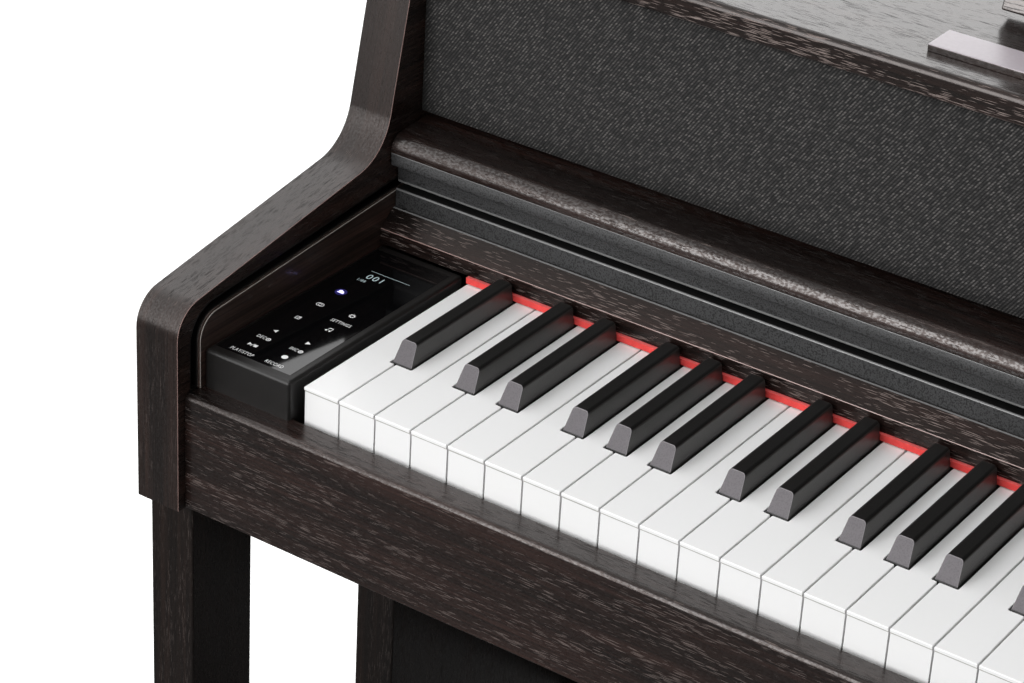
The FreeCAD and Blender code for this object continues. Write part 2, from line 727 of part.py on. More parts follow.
def make_sides():
    """Side panels with their arms, and the lid track let into each."""
    points = side_outline()
    left = profile("side_left_board", "YZ_Plane", points, "side_thickness",
                   ("-outer_half", "key_front", "key_height"))
    soften(left, "arm_nose_radius", along("x", *points[5]))
    soften(left, "shoulder_radius", along("x", *points[4]))
    foot = "-slip_drop"
    groove = track_shape("track_groove", "track_width / 2 + track_fit", foot + " - track_fit",
                         "track_depth + track_fit", "-inner_half - track_depth - track_fit")
    panel = node("side_panel_left", cut("side_left", left, groove))
    node("side_panel_right", mirror("side_right", panel))

    strip = track_shape("track_strip", "track_width / 2", foot, "track_depth",
                        "-inner_half - track_depth")
    slot = track_shape("track_slot", "slot_width / 2", foot + " + track_sole",
                       "slot_depth + overreach",
                       "-inner_half - slot_depth")
    channel = cut("track_left", strip, slot)
    node("lid_tracks", both_sides("tracks", channel))

    half = "track_width / 2"
    rise = "track_corner_rise - (%s) * (1 / cos(track_slope) - tan(track_slope))" % half
    back = ("track_corner_rise + (track_end + track_front) * tan(track_slope)"
            " - (%s) / cos(track_slope)" % half)
    lining_points = [
        ("-track_front + " + half, "-slip_drop"),
        ("slip_back + fit", "-slip_drop"),
        ("slip_back + fit", "-bed_drop"),
        ("track_end", "-bed_drop"),
        ("track_end", back),
        ("-track_front + " + half, rise),
    ]
    lining = profile("lining_left", "YZ_Plane", lining_points, "inner_board",
                     ("-inner_half", "key_front", "key_height"))
    soften(lining, "track_radius - (%s)" % half, along("x", *lining_points[5]))
    node("inner_boards", both_sides("linings", lining))


def make_slip_and_bed():
    slip_points = [
        ("slip_front", "-arm_drop"), ("slip_back", "-arm_drop"),
        ("slip_back", "-slip_drop"), ("slip_front", "-slip_drop"),
    ]
    slip = profile("slip", "YZ_Plane", slip_points, "2 * inner_half",
                   ("-inner_half", "key_front", "key_height"))
    soften(slip, "slip_bead_radius", along("x", *slip_points[3]))
    soften(slip, "wood_edge_radius", along("x", *slip_points[0]))
    node("key_slip", slip)
    node("keybed", block("bed", "-inner_half", "key_front + slip_back",
                         "key_height - bed_bottom", "2 * inner_half",
                         "back_front - slip_back", "bed_thickness"))


def cheek_block(name, x):
    """Hollow end block that stands on the slip and fills the gap beside the keys."""
    low = "-bed_drop"
    points = [
        ("-cheek_forward", "-slip_drop"), ("slip_back + fit", "-slip_drop"),
        ("slip_back + fit", low), ("nameboard_back - fit", low),
        ("nameboard_back - fit", "cheek_rise"), ("-cheek_forward", "cheek_rise"),
    ]
    body = profile(name, "YZ_Plane", points, "cheek_width", (x, "key_front", "key_height"))
    front_top = along("x", *points[5])
    sides = []
    for edge_x in ("0", "cheek_width"):
        sides.append(along("z", edge_x, "-cheek_forward"))
        sides.append(along("y", edge_x, "cheek_rise"))
    soften(body, "cheek_radius", either(front_top, *sides))
    return body


def make_cheeks():
    left_x = "-keys_half - cheek_key_gap - cheek_width"
    right_x = "keys_half + cheek_key_gap"
    hollow_y = "key_front + cheek_wall"
    hollow_z = "key_height - bed_drop"
    hollow_depth = "nameboard_back - fit - 2 * cheek_wall"
    hollows = []
    for side, x in (("left", left_x), ("right", right_x)):
        hollows.append(block("cheek_hollow_" + side, x + " + cheek_wall", hollow_y,
                             hollow_z + " - overreach", "cheek_width - 2 * cheek_wall",
                             hollow_depth, "bed_drop + overreach - cheek_hollow_drop"))
    panel_x = left_x + " + panel_side"
    panel_y = "key_front - cheek_forward + panel_front"
    recess = block("panel_recess", panel_x + " - panel_fit", panel_y + " - panel_fit",
                   "key_height + cheek_rise - panel_sink - panel_thickness",
                   "panel_width + 2 * panel_fit", "panel_length + 2 * panel_fit",
                   "panel_thickness + panel_sink + overreach")
    left = cheek_block("cheek_left", left_x)
    node("cheek_block_left", cut("cheek_left_shell", left, hollows[0], recess))
    node("touch_panel", block("panel_glass", panel_x, panel_y,
                              "key_height + cheek_rise - panel_sink - panel_thickness",
                              "panel_width", "panel_length", "panel_thickness"))

    middle_x = right_x + " + cheek_width / 2"
    top = "key_height + cheek_rise"
    bore = rod("button_bore", "z", middle_x, "key_front + button_back",
               top + " - button_depth - button_travel - button_room",
               "button_diameter + 2 * fit",
               "button_depth + button_travel + button_room + overreach")
    shaft_bore = rod("knob_bore", "z", middle_x, "key_front + knob_back",
                     top + " - knob_shaft_depth - overreach",
                     "knob_shaft + 2 * shaft_clearance", "knob_shaft_depth + 2 * overreach")
    right = cheek_block("cheek_right", right_x)
    node("cheek_block_right", cut("cheek_right_shell", right, hollows[1], bore, shaft_bore))

    button_points = [("0", "-button_depth"), ("button_diameter / 2", "-button_depth"),
                     ("button_diameter / 2", "button_rise"), ("0", "button_rise")]
    button = turned("button", button_points, (middle_x, "key_front + button_back", top))
    node("power_button", soften(button, "button_edge_radius", level("z", "button_rise")))
    knob_points = [
        ("0", "-knob_shaft_depth"), ("knob_shaft / 2", "-knob_shaft_depth"),
        ("knob_shaft / 2", "knob_gap"), ("knob_diameter / 2", "knob_gap"),
        ("knob_diameter / 2 - knob_taper", "knob_height"), ("0", "knob_height"),
    ]
    knob = turned("knob", knob_points, (middle_x, "key_front + knob_back", top))
    soften(knob, "knob_edge_radius", level("z", "knob_height"))
    mark = block("knob_mark", middle_x + " - mark_width / 2",
                 "key_front + knob_back + knob_diameter / 4", top + " + knob_height - mark_depth",
                 "mark_width", "knob_diameter / 2", "mark_depth + overreach")
    node("volume_knob", cut("knob_marked", knob, mark))


def turned(name, points, at):
    """A body of revolution about its own upright axis."""
    body = doc.addObject("PartDesign::Body", name)
    drawing = sketch(body, name + "_outline", "XZ_Plane", [points])
    feature = body.newObject("PartDesign::Revolution", name + "_turn")
    feature.Profile = drawing
    feature.ReferenceAxis = (drawing, ["V_Axis"])
    feature.Angle = 360
    place(body, *at)
    return body


def make_front_strips():
    """Nameboard, its felt and the rest strip that the lid slides over."""
    board_points = [
        ("0", "nameboard_lift"), ("nameboard_depth", "nameboard_lift"),
        ("nameboard_depth", "nameboard_rise"), ("nameboard_bevel", "nameboard_rise"),
        ("0", "nameboard_face"),
    ]
    at = ("-lined_half", "key_front + nameboard_back", "key_height")
    board = profile("name_board", "YZ_Plane", board_points, "2 * lined_half", at)
    soften(board, "nameboard_edge_radius", along("x", *board_points[4]))
    node("nameboard", board)
    node("nameboard_felt", block("felt", "-keys_half", "key_front + nameboard_back - felt_proud",
                                 "key_height + felt_lift", "2 * keys_half", "felt_depth",
                                 "nameboard_lift - felt_lift - felt_gap"))
    strip_points = [
        ("0", "nameboard_lift"), ("rest_depth", "nameboard_lift"),
        ("rest_depth", "rest_rise"), ("0", "rest_rise"),
    ]
    strip_at = ("-lined_half", "key_front + nameboard_back + nameboard_depth + fit", "key_height")
    strip = profile("rest_board", "YZ_Plane", strip_points, "2 * lined_half", strip_at)
    soften(strip, "rest_edge_radius", along("x", *strip_points[3]))
    node("rest_strip", strip)


def lid_body(name, points, x, length):
    """A lid piece drawn square to the sloping lid, from the underside of its nose."""
    body = profile(name, "YZ_Plane", points, length, ("0", "0", "0"))
    turn(body, Vector(1, 0, 0), "track_slope")
    return place(body, x, "key_front + lid_nose", "key_height + lid_z")


def make_lid():
    half = "(inner_half - lid_gap)"
    board_points = [("0", "0"), ("lid_length", "0"), ("lid_length", "lid_thickness"),
                    ("0", "lid_thickness")]
    board = lid_body("lid_board", board_points, "-" + half, "2 * " + half)
    soften(board, "lid_nose_radius", along("x", *board_points[3]))
    soften(board, "wood_edge_radius", along("x", *board_points[2]))
    node("lid_panel", board)

    plate_half = "(inner_half - pin_plate_gap - pin_plate)"
    front_points = [
        ("lip_set", "0"), ("lip_set", "-lip_drop"), ("leg_set", "-lip_drop"),
        ("leg_set", "-leg_drop"), ("leg_set + trim_wall", "-leg_drop"),
        ("leg_set + trim_wall", "0"),
    ]
    lip = lid_body("trim_front", front_points, "-" + half, "2 * " + half)
    soften(lip, "lip_edge_radius", along("x", *front_points[1]))
    soften(lip, "leg_edge_radius", along("x", *front_points[3]))
    flange_start = "leg_set + trim_wall - overreach"
    flange_points = [
        (flange_start, "-trim_wall"), ("trim_flange", "-trim_wall"),
        ("trim_flange", "0"), (flange_start, "0"),
    ]
    flange_half = "(%s - fit)" % plate_half
    flange = lid_body("trim_flange_part", flange_points, "-" + flange_half, "2 * " + flange_half)
    node("lid_trim", fuse("trim", lip, flange))

    pieces = []
    for place_name, back in (("front", "pin_set"), ("back", "pin_set + pin_span")):
        front_edge = "%s + pin_plate_shift - pin_plate_length / 2" % back
        back_edge = "%s + pin_plate_shift + pin_plate_length / 2" % back
        low = "-lid_over_track - pin_diameter / 2"
        plate_points = [(front_edge, "0"), (front_edge, low), (back_edge, low), (back_edge, "0")]
        plate = lid_body("pin_plate_" + place_name, plate_points,
                         "-" + plate_half + " - pin_plate", "pin_plate")
        lower_corners = [along("x", *point) for point in plate_points[1:3]]
        soften(plate, "pin_plate_radius", either(*lower_corners))
        y = ("key_front + lid_nose + (%s) * cos(track_slope)"
             " + lid_over_track * sin(track_slope)" % back)
        z = ("key_height + lid_z + (%s) * sin(track_slope)"
             " - lid_over_track * cos(track_slope)" % back)
        pin = rod("pin_" + place_name, "x", "-inner_half - pin_reach", y, z, "pin_diameter",
                  "pin_reach + pin_plate_gap + pin_plate")
        pieces.append(fuse("pin_piece_" + place_name, plate, pin))
    pieces += [mirror(item.Name + "_other", item) for item in pieces]
    node("lid_pins", group("pins", pieces))


def make_speakers():
    node("speaker_cloth", block("cloth", "-cloth_half", "key_front + cloth_back",
                                "key_height + cloth_rise + fit", "2 * cloth_half",
                                "cloth_thickness", "case_rise - cloth_rise - 2 * fit"))
    baffle = block("baffle", "-inner_half", "key_front + baffle_y", "key_height + cloth_rise",
                   "2 * inner_half", "baffle_thickness", "case_rise - cloth_rise")
    holes = []
    speakers = []
    for side, x in (("left", "-speaker_span"), ("right", "speaker_span")):
        z = "key_height + speaker_z"
        behind = "key_front + baffle_y + baffle_thickness"
        holes.append(rod("speaker_hole_" + side, "y", x, "key_front + baffle_y - overreach", z,
                         "speaker_hole", "baffle_thickness + 2 * overreach"))
        flange = rod("speaker_flange_" + side, "y", x, behind, z, "speaker_flange",
                     "flange_thickness")
        basket = doc.addObject("Part::Cone", "speaker_basket_" + side)
        bind(basket, Radius1="speaker_hole / 2", Radius2="magnet_diameter / 2 - basket_step",
             Height="speaker_depth - magnet_depth - flange_thickness")
        basket.Placement = Placement(Vector(), Rotation(Vector(1, 0, 0), -90))
        place(basket, x, behind + " + flange_thickness", z)
        magnet = rod("speaker_magnet_" + side, "y", x, behind + " + speaker_depth - magnet_depth",
                     z, "magnet_diameter", "magnet_depth")
        dish = doc.addObject("Part::Cone", "speaker_dish_" + side)
        bind(dish, Radius1="speaker_hole / 2 - cone_surround", Radius2="cone_bottom_radius",
             Height="cone_depth")
        dish.Placement = Placement(Vector(), Rotation(Vector(1, 0, 0), -90))
        place(dish, x, behind + " - hair", z)
        driver = fuse("speaker_" + side, flange, basket, magnet)
        speakers.append(cut("speaker_dished_" + side, driver, dish))
    node("baffle_board", cut("baffle_bored", baffle, *holes))
    node("speakers", group("drivers", speakers))


def make_top_and_back():
    top_points = [
        ("top_front", "case_rise"), ("case_back", "case_rise"),
        ("case_back", "top_face"), ("top_front", "top_face"),
    ]
    half = "(outer_half + top_overhang)"
    top = profile("top", "YZ_Plane", top_points, "2 * " + half,
                  ("-" + half, "key_front", "key_height"))
    soften(top, "top_edge_radius", along("x", *top_points[3]))
    soften(top, "wood_edge_radius", along("x", *top_points[0]))
    node("top_board", top)

    board = block("back", "-inner_half", "key_front + back_front", "key_height - bed_bottom",
                  "2 * inner_half", "back_thickness", "case_rise + bed_bottom")
    plate_x = "jack_plate_side - jack_plate_width / 2"
    behind_board = "key_front + back_front - overreach"
    through_board = "back_thickness + 2 * overreach"
    window = block("jack_window", plate_x + " - fit", behind_board, "jack_z - fit",
                   "jack_plate_width + 2 * fit", through_board, "jack_plate_height + 2 * fit")
    tools = [window]
    screws = []
    rows = ("key_height - bed_bottom + screw_inset", "key_height + case_rise - screw_inset")
    for row, z in enumerate(rows):
        for column in range(SCREW_COLUMNS):
            share = 2 * column / (SCREW_COLUMNS - 1) - 1
            x = "(inner_half - screw_side) * %g" % share
            name = "%d_%d" % (row, column)
            tools.append(rod("screw_hole_" + name, "y", x, behind_board, z,
                             "screw_diameter + 2 * shaft_clearance", through_board))
            shank = rod("screw_shank_" + name, "y", x, "key_front + back_front", z,
                        "screw_diameter", "back_thickness + screw_bite")
            head = rod("screw_head_" + name, "y", x, "key_front + back_face", z,
                       "screw_head", "screw_head_height")
            screws.append(fuse("screw_" + name, shank, head))
    node("back_board", cut("back_cut", board, *tools))
    node("screws", group("back_screws", screws))

    plate = block("jack_plate", plate_x, "key_front + back_front + jack_plate_set", "jack_z",
                  "jack_plate_width", "jack_plate_thickness", "jack_plate_height")
    fittings = [plate]
    for number in range(SOCKETS):
        x = plate_x + " + jack_first + %d * jack_pitch" % number
        fittings.append(rod("jack_%d" % number, "y", x,
                            "key_front + back_front + jack_plate_set + jack_plate_thickness / 2",
                            "jack_z + jack_plate_height / 2", "jack_barrel", "jack_length"))
    inlet_x = plate_x + " + jack_plate_width - inlet_side"
    inlet_y = "key_front + back_front - inlet_sink"
    inlet = block("inlet", inlet_x, inlet_y, "jack_z + inlet_lift", "inlet_width", "inlet_depth",
                  "inlet_height")
    inlet_well = block("inlet_well", inlet_x + " + inlet_wall", inlet_y + " + inlet_wall",
                       "jack_z + inlet_lift + inlet_wall", "inlet_width - 2 * inlet_wall",
                       "inlet_depth", "inlet_height - 2 * inlet_wall")
    fittings.append(inlet)
    node("jack_panel", cut("jack_panel_bored", fuse("jack_fittings", *fittings), inlet_well))


def make_desk():
    """Music ledge, and the hinged music desk that folds back onto the top board."""
    ledge_points = [
        ("0", "0"), ("ledge_depth", "0"), ("ledge_depth", "ledge_height"), ("0", "ledge_height"),
    ]
    ledge = profile("ledge", "YZ_Plane", ledge_points, "ledge_width",
                    ("-ledge_width / 2", "key_front + ledge_back", "key_height + top_face"))
    upper_edges = [along("x", *point) for point in ledge_points[2:]]
    soften(ledge, "ledge_edge_radius", either(*upper_edges))
    node("music_ledge", ledge)

    half = "desk_width / 2"
    desk_points = [("-" + half, "0"), (half, "0"),
                   (half, "desk_height"), ("-" + half, "desk_height")]
    desk = profile("desk", "XZ_Plane", desk_points, "desk_thickness", ("0", "0", "0"),
                   backwards=True)
    corners = [along("y", u, v) for u, v in desk_points[2:]]
    soften(desk, "desk_corner_radius", either(*corners))
    turn(desk, Vector(1, 0, 0), "-desk_lean")
    place(desk, "0", "key_front + desk_back", "key_height + desk_foot_z")
    node("music_desk", desk)

    knuckles = []
    bases = []
    y = "key_front + hinge_y"
    z = "key_height + hinge_z"
    for side, x in (("left", "-hinge_span"), ("right", "hinge_span")):
        start = x + " - hinge_length / 2"
        barrel = rod("barrel_" + side, "x", start, y, z, "hinge_barrel", "hinge_length")
        leaf = block("desk_leaf_" + side, start, "0", "0", "hinge_length", "hinge_plate",
                     "hinge_leaf")
        turn(leaf, Vector(1, 0, 0), "-desk_lean")
        leaf_foot = "(hinge_v - overreach)"
        place(leaf, start,
              "key_front + desk_back + desk_thickness * cos(desk_lean) + %s * sin(desk_lean)"
              % leaf_foot,
              "key_height + desk_foot_z - desk_thickness * sin(desk_lean) + %s * cos(desk_lean)"
              % leaf_foot)
        moving = fuse("knuckle_" + side, barrel, leaf)
        bore = rod("barrel_bore_" + side, "x", start + " - overreach", y, z,
                   "hinge_pin + 2 * shaft_clearance", "hinge_length + 2 * overreach")
        knuckles.append(cut("knuckle_bored_" + side, moving, bore))
        pin = rod("desk_pin_" + side, "x", start + " - fit - hinge_ear", y, z, "hinge_pin",
                  "hinge_length + 2 * fit + 2 * hinge_ear")
        pieces = [pin]
        ears = (("a", start + " - fit - hinge_ear"), ("b", start + " + hinge_length + fit"))
        for ear, ear_x in ears:
            pieces.append(block("ear_%s_%s" % (ear, side), ear_x, y + " - hinge_barrel / 2",
                                "key_height + top_face", "hinge_ear", "hinge_barrel",
                                "hinge_rise"))
            pieces.append(rod("ear_top_%s_%s" % (ear, side), "x", ear_x, y, z, "hinge_barrel",
                              "hinge_ear"))
            pieces.append(block("base_leaf_%s_%s" % (ear, side), ear_x + " - hinge_wing",
                                y + " - hinge_barrel / 2", "key_height + top_face",
                                "hinge_ear + 2 * hinge_wing", "hinge_barrel + hinge_heel",
                                "hinge_plate"))
        bases.append(fuse("hinge_base_" + side, *pieces))
    node("desk_hinge_knuckles", group("knuckles", knuckles))
    node("desk_hinge_bases", group("hinge_bases", bases))


# --- stand ------------------------------------------------------------------


def make_stand():
    leg_height = "stand_top - foot_top"
    leg_points = [
        ("0", "0"), ("leg_width", "0"), ("leg_width", "leg_depth"), ("0", "leg_depth"),
    ]
    leg = profile("leg", "XY_Plane", leg_points, leg_height,
                  ("-outer_half", "key_front - leg_front", "foot_top"))
    soften(leg, "wood_edge_radius", either(*[along("z", u, v) for u, v in leg_points]))
    node("front_leg_left", leg)
    node("front_leg_right", mirror("leg_other", leg))

    board_length = "case_back - rear_board_inset - rear_board_front"
    board_points = [
        ("0", "0"), ("side_thickness", "0"), ("side_thickness", board_length), ("0", board_length),
    ]
    board = profile("rear_board", "XY_Plane", board_points, leg_height,
                    ("-outer_half", "key_front + rear_board_front", "foot_top"))
    soften(board, "wood_edge_radius", either(*[along("z", u, v) for u, v in board_points]))
    node("rear_board_left", board)
    node("rear_board_right", mirror("rear_board_other", board))

    foot_points = [
        ("0", "0"), ("foot_length", "0"), ("foot_length", "foot_height"), ("0", "foot_height"),
    ]
    foot = profile("foot", "YZ_Plane", foot_points, "foot_width",
                   ("-outer_half - foot_side", "foot_y", "foot_bottom"))
    soften(foot, "foot_radius", either(*[along("x", u, v) for u, v in foot_points[2:]]))
    node("foot_left", foot)
    node("foot_right", mirror("foot_other", foot))

    pads = []
    ends = (("front", "foot_y + glide_inset"), ("back", "foot_y + foot_length - glide_inset"))
    for end, y in ends:
        pads.append(rod("glide_" + end, "z", "-outer_half - foot_side + foot_width / 2", y, "0",
                        "glide_diameter", "glide_height"))
    pads += [mirror(item.Name + "_other", item) for item in pads]
    prop_y = "pedal_box_y + pedal_box_depth / 4"
    prop_pad = rod("prop_pad", "z", "0", prop_y, "0", "prop_foot_diameter", "glide_height")
    prop_rod = rod("prop_rod", "z", "0", prop_y, "0", "prop_rod_diameter", "pedal_box_lift")
    pads.append(fuse("prop", prop_pad, prop_rod))
    node("glides", group("floor_pads", pads))

    node("lower_back_panel", block("low_panel", "-inner_half", "key_front + low_panel_back",
                                   "low_panel_top - low_panel_height", "2 * inner_half",
                                   "low_panel_thickness", "low_panel_height"))


def make_pedals():
    """Pedal box across the stand with three sprung pedals on one shaft."""
    outer = block("box_outer", "-inner_half", "pedal_box_y", "pedal_box_lift", "2 * inner_half",
                  "pedal_box_depth", "pedal_box_height")
    inner = block("box_inner", "-inner_half + pedal_box_wall", "pedal_box_y + pedal_box_wall",
                  "pedal_box_lift + pedal_box_wall", "2 * inner_half - 2 * pedal_box_wall",
                  "pedal_box_depth", "pedal_box_height - 2 * pedal_box_wall")
    slots = []
    for number in (-1, 0, 1):
        slots.append(block("pedal_slot_%d" % (number + 2),
                           "%d * pedal_pitch - pedal_neck / 2 - pedal_side_gap" % number,
                           "pedal_box_y - overreach",
                           "pedal_z - pedal_slot + pedal_thickness + pedal_top_gap",
                           "pedal_neck + 2 * pedal_side_gap", "pedal_box_wall + 2 * overreach",
                           "pedal_slot"))
    node("pedal_box", cut("box", outer, inner, *slots))

    shaft_z = "pedal_z + pedal_thickness / 2"
    shaft_half = "(pedal_pitch + pedal_width + shaft_end)"
    shaft = rod("pedal_rod", "x", "-" + shaft_half, "pedal_shaft_y", shaft_z,
                "pedal_shaft_diameter", "2 * " + shaft_half)
    places = (
        "-pedal_pitch - pedal_width - post_gap - post_thickness",
        "-pedal_pitch / 2 - post_thickness / 2",
        "pedal_pitch / 2 - post_thickness / 2",
        "pedal_pitch + pedal_width + post_gap",
    )
    posts = []
    for number, x in enumerate(places):
        posts.append(block("shaft_post_%d" % number, x, "pedal_shaft_y - post_depth / 2",
                           "pedal_box_lift + pedal_box_wall", "post_thickness", "post_depth",
                           "pedal_lift - pedal_box_wall + pedal_thickness + post_rise"))
    node("pedal_shaft", fuse("shaft_and_posts", shaft, *posts))

    for number, name in ((-1, "pedal_left"), (0, "pedal_middle"), (1, "pedal_right")):
        neck = "pedal_neck / 2"
        toe = "pedal_width / 2"
        points = [
            ("-" + neck, "pedal_tail"), ("-" + neck, "-pedal_neck_length"),
            ("-" + toe, "-pedal_toe_start"), ("-" + toe, "-pedal_reach"),
            (toe, "-pedal_reach"), (toe, "-pedal_toe_start"),
            (neck, "-pedal_neck_length"), (neck, "pedal_tail"),
        ]
        body = profile(name + "_blank", "XY_Plane", points, "pedal_thickness",
                       ("%d * pedal_pitch" % number, "pedal_box_y", "pedal_z"))
        toe_corners = [along("z", u, v) for u, v in points[3:5]]
        soften(body, "pedal_width / 2 - toe_flat", either(*toe_corners))
        soften(body, "pedal_edge_radius", level("z", "pedal_thickness"))
        bore = rod(name + "_bore", "x", "%d * pedal_pitch - pedal_width" % number, "pedal_shaft_y",
                   shaft_z, "pedal_shaft_diameter + 2 * shaft_clearance", "2 * pedal_width")
        node(name, cut(name + "_bored", body, bore))


def make_boards():
    """Main circuit board on its posts, and the touch panel's own board."""
    x = "-inner_half + board_side"
    y = "key_front + key_length + board_back"
    z = "key_height - bed_drop + board_lift"
    pieces = [block("main_board", x, y, z, "board_length", "board_depth", "board_thickness")]
    across = ("board_post_inset", "board_length - board_post_inset")
    deep = ("board_post_inset", "board_depth - board_post_inset")
    for column, dx in enumerate(across):
        for row, dy in enumerate(deep):
            pieces.append(rod("board_post_%d_%d" % (column, row), "z", "%s + %s" % (x, dx),
                              "%s + %s" % (y, dy), "key_height - bed_drop", "board_post",
                              "board_lift"))
    for number, (dx, dy, length, width, height) in enumerate(CHIPS):
        pieces.append(block("chip_%d" % number, "%s + %g" % (x, dx), "%s + %g" % (y, dy),
                            z + " + board_thickness", length, width, height))
    node("circuit_boards", fuse("boards", *pieces))


make_keys()
make_key_chassis()
make_sides()
make_slip_and_bed()
make_cheeks()
make_front_strips()
make_lid()
make_speakers()
make_top_and_back()
make_desk()
make_stand()
make_pedals()
make_boards()
doc.recompute()

for item in doc.Objects:
    if "Invalid" in item.State or "Error" in item.State:
        raise ValueError("%s failed: %s" % (item.Label, item.State))
for item in nodes:
    if item.Shape.isNull() or not item.Shape.isValid():
        raise ValueError("%s has a bad shape" % item.Label)

os.makedirs("parts", exist_ok=True)
for item in nodes:
    item.Shape.exportStep("parts/%s.step" % item.Label)
print("wrote %d sub-parts" % len(nodes))
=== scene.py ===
import json
import math

import bmesh
import bpy
from mathutils import Matrix, Quaternion, Vector

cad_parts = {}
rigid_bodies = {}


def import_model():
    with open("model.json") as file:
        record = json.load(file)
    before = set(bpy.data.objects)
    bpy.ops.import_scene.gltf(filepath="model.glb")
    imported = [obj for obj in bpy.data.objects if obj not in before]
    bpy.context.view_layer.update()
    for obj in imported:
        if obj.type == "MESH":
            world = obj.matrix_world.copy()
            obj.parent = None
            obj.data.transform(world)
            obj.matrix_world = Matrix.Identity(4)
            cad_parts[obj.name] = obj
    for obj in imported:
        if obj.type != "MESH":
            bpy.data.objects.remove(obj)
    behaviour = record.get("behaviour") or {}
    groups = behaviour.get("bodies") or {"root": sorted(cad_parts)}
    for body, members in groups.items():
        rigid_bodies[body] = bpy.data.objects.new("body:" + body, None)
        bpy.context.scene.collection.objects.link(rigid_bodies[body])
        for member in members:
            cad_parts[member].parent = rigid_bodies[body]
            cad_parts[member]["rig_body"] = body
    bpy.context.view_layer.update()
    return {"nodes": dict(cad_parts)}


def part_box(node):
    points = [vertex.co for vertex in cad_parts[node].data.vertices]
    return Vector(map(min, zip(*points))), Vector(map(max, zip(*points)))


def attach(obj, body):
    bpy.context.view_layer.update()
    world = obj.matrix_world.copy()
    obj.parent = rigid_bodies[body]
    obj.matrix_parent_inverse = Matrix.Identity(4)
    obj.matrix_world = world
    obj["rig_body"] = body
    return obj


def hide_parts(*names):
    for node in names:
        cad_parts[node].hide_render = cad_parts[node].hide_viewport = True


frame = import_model()
NODES = frame["nodes"]

# The looks of a digital piano on its stand.  Metres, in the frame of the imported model:
# X along the keyboard, Y towards the back, Z up from the floor.

MM = 0.001
keys_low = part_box("key_a0")[0]
keys_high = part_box("key_a0")[1]
KEY_FRONT = keys_low.y
KEY_TOP = keys_high.z
LIP_HEIGHT = 2 * MM
LIP_DEPTH = 0.8 * MM
LIP_SHADOW_DEPTH = 3.1 * MM

# ---------------------------------------------------------------- shader groups


class Tree:
    """Short ways to add and join the nodes of one material or group."""

    def __init__(self, tree):
        self.tree = tree

    def add(self, kind, **settings):
        item = self.tree.nodes.new(kind)
        for name, value in settings.items():
            setattr(item, name, value)
        return item

    def feed(self, socket, value):
        """Join an output to a socket, or set the socket to a plain value."""
        if isinstance(value, bpy.types.NodeSocket):
            self.tree.links.new(value, socket)
        else:
            socket.default_value = value

    def math(self, operation, first, second=0.0, clamp=False):
        item = self.add("ShaderNodeMath", operation=operation, use_clamp=clamp)
        self.feed(item.inputs[0], first)
        self.feed(item.inputs[1], second)
        return item.outputs[0]

    def scaled(self, vector, factors):
        item = self.add("ShaderNodeVectorMath", operation="MULTIPLY")
        self.feed(item.inputs[0], vector)
        self.feed(item.inputs[1], factors)
        return item.outputs[0]

    def noise(self, vector, detail=2.0, roughness=0.5, distortion=0.0):
        """Noise whose scale is already in its vector."""
        item = self.add("ShaderNodeTexNoise")
        self.feed(item.inputs["Vector"], vector)
        item.inputs["Scale"].default_value = 1.0
        item.inputs["Detail"].default_value = detail
        item.inputs["Roughness"].default_value = roughness
        item.inputs["Distortion"].default_value = distortion
        return item.outputs["Fac"]

    def cells(self, vector):
        """Distance to the middle of the nearest cell; the scale is in the vector."""
        item = self.add("ShaderNodeTexVoronoi", feature="F1")
        self.feed(item.inputs["Vector"], vector)
        item.inputs["Scale"].default_value = 1.0
        return item.outputs["Distance"]

    def span(self, value, low, high, to_low=0.0, to_high=1.0):
        """Map low..high to to_low..to_high, and hold it there outside."""
        item = self.add("ShaderNodeMapRange")
        for socket, number in zip(item.inputs[:5], (value, low, high, to_low, to_high)):
            self.feed(socket, number)
        return item.outputs[0]

    def mix(self, factor, first, second, blend="MIX"):
        item = self.add("ShaderNodeMix", data_type="RGBA", blend_type=blend)
        self.feed(item.inputs["Factor"], factor)
        self.feed(item.inputs[6], first)
        self.feed(item.inputs[7], second)
        return item.outputs[2]

    def split(self, vector):
        item = self.add("ShaderNodeSeparateXYZ")
        self.feed(item.inputs[0], vector)
        return item.outputs

    def join(self, x, y, z):
        item = self.add("ShaderNodeCombineXYZ")
        for socket, value in zip(item.inputs, (x, y, z)):
            self.feed(socket, value)
        return item.outputs[0]

    def group(self, group, **inputs):
        item = self.add("ShaderNodeGroup", node_tree=group)
        for name, value in inputs.items():
            self.feed(item.inputs[name.replace("_", " ")], value)
        return item.outputs


def colour(red, green, blue):
    """A colour from the values a paint card gives, 0 to 255."""
    parts = []
    for value in (red, green, blue):
        share = value / 255
        parts.append(share / 12.92 if share <= 0.04045 else ((share + 0.055) / 1.055) ** 2.4)
    return (*parts, 1.0)


def new_group(name, inputs, outputs):
    """An empty shader group with pairs of socket name and kind."""
    group = bpy.data.node_groups.new(name, "ShaderNodeTree")
    for label, kind in inputs:
        group.interface.new_socket(label, in_out="INPUT", socket_type="NodeSocket" + kind)
    for label, kind in outputs:
        group.interface.new_socket(label, in_out="OUTPUT", socket_type="NodeSocket" + kind)
    tree = Tree(group)
    source = tree.add("NodeGroupInput").outputs
    drain = tree.add("NodeGroupOutput").inputs
    return group, tree, source, drain


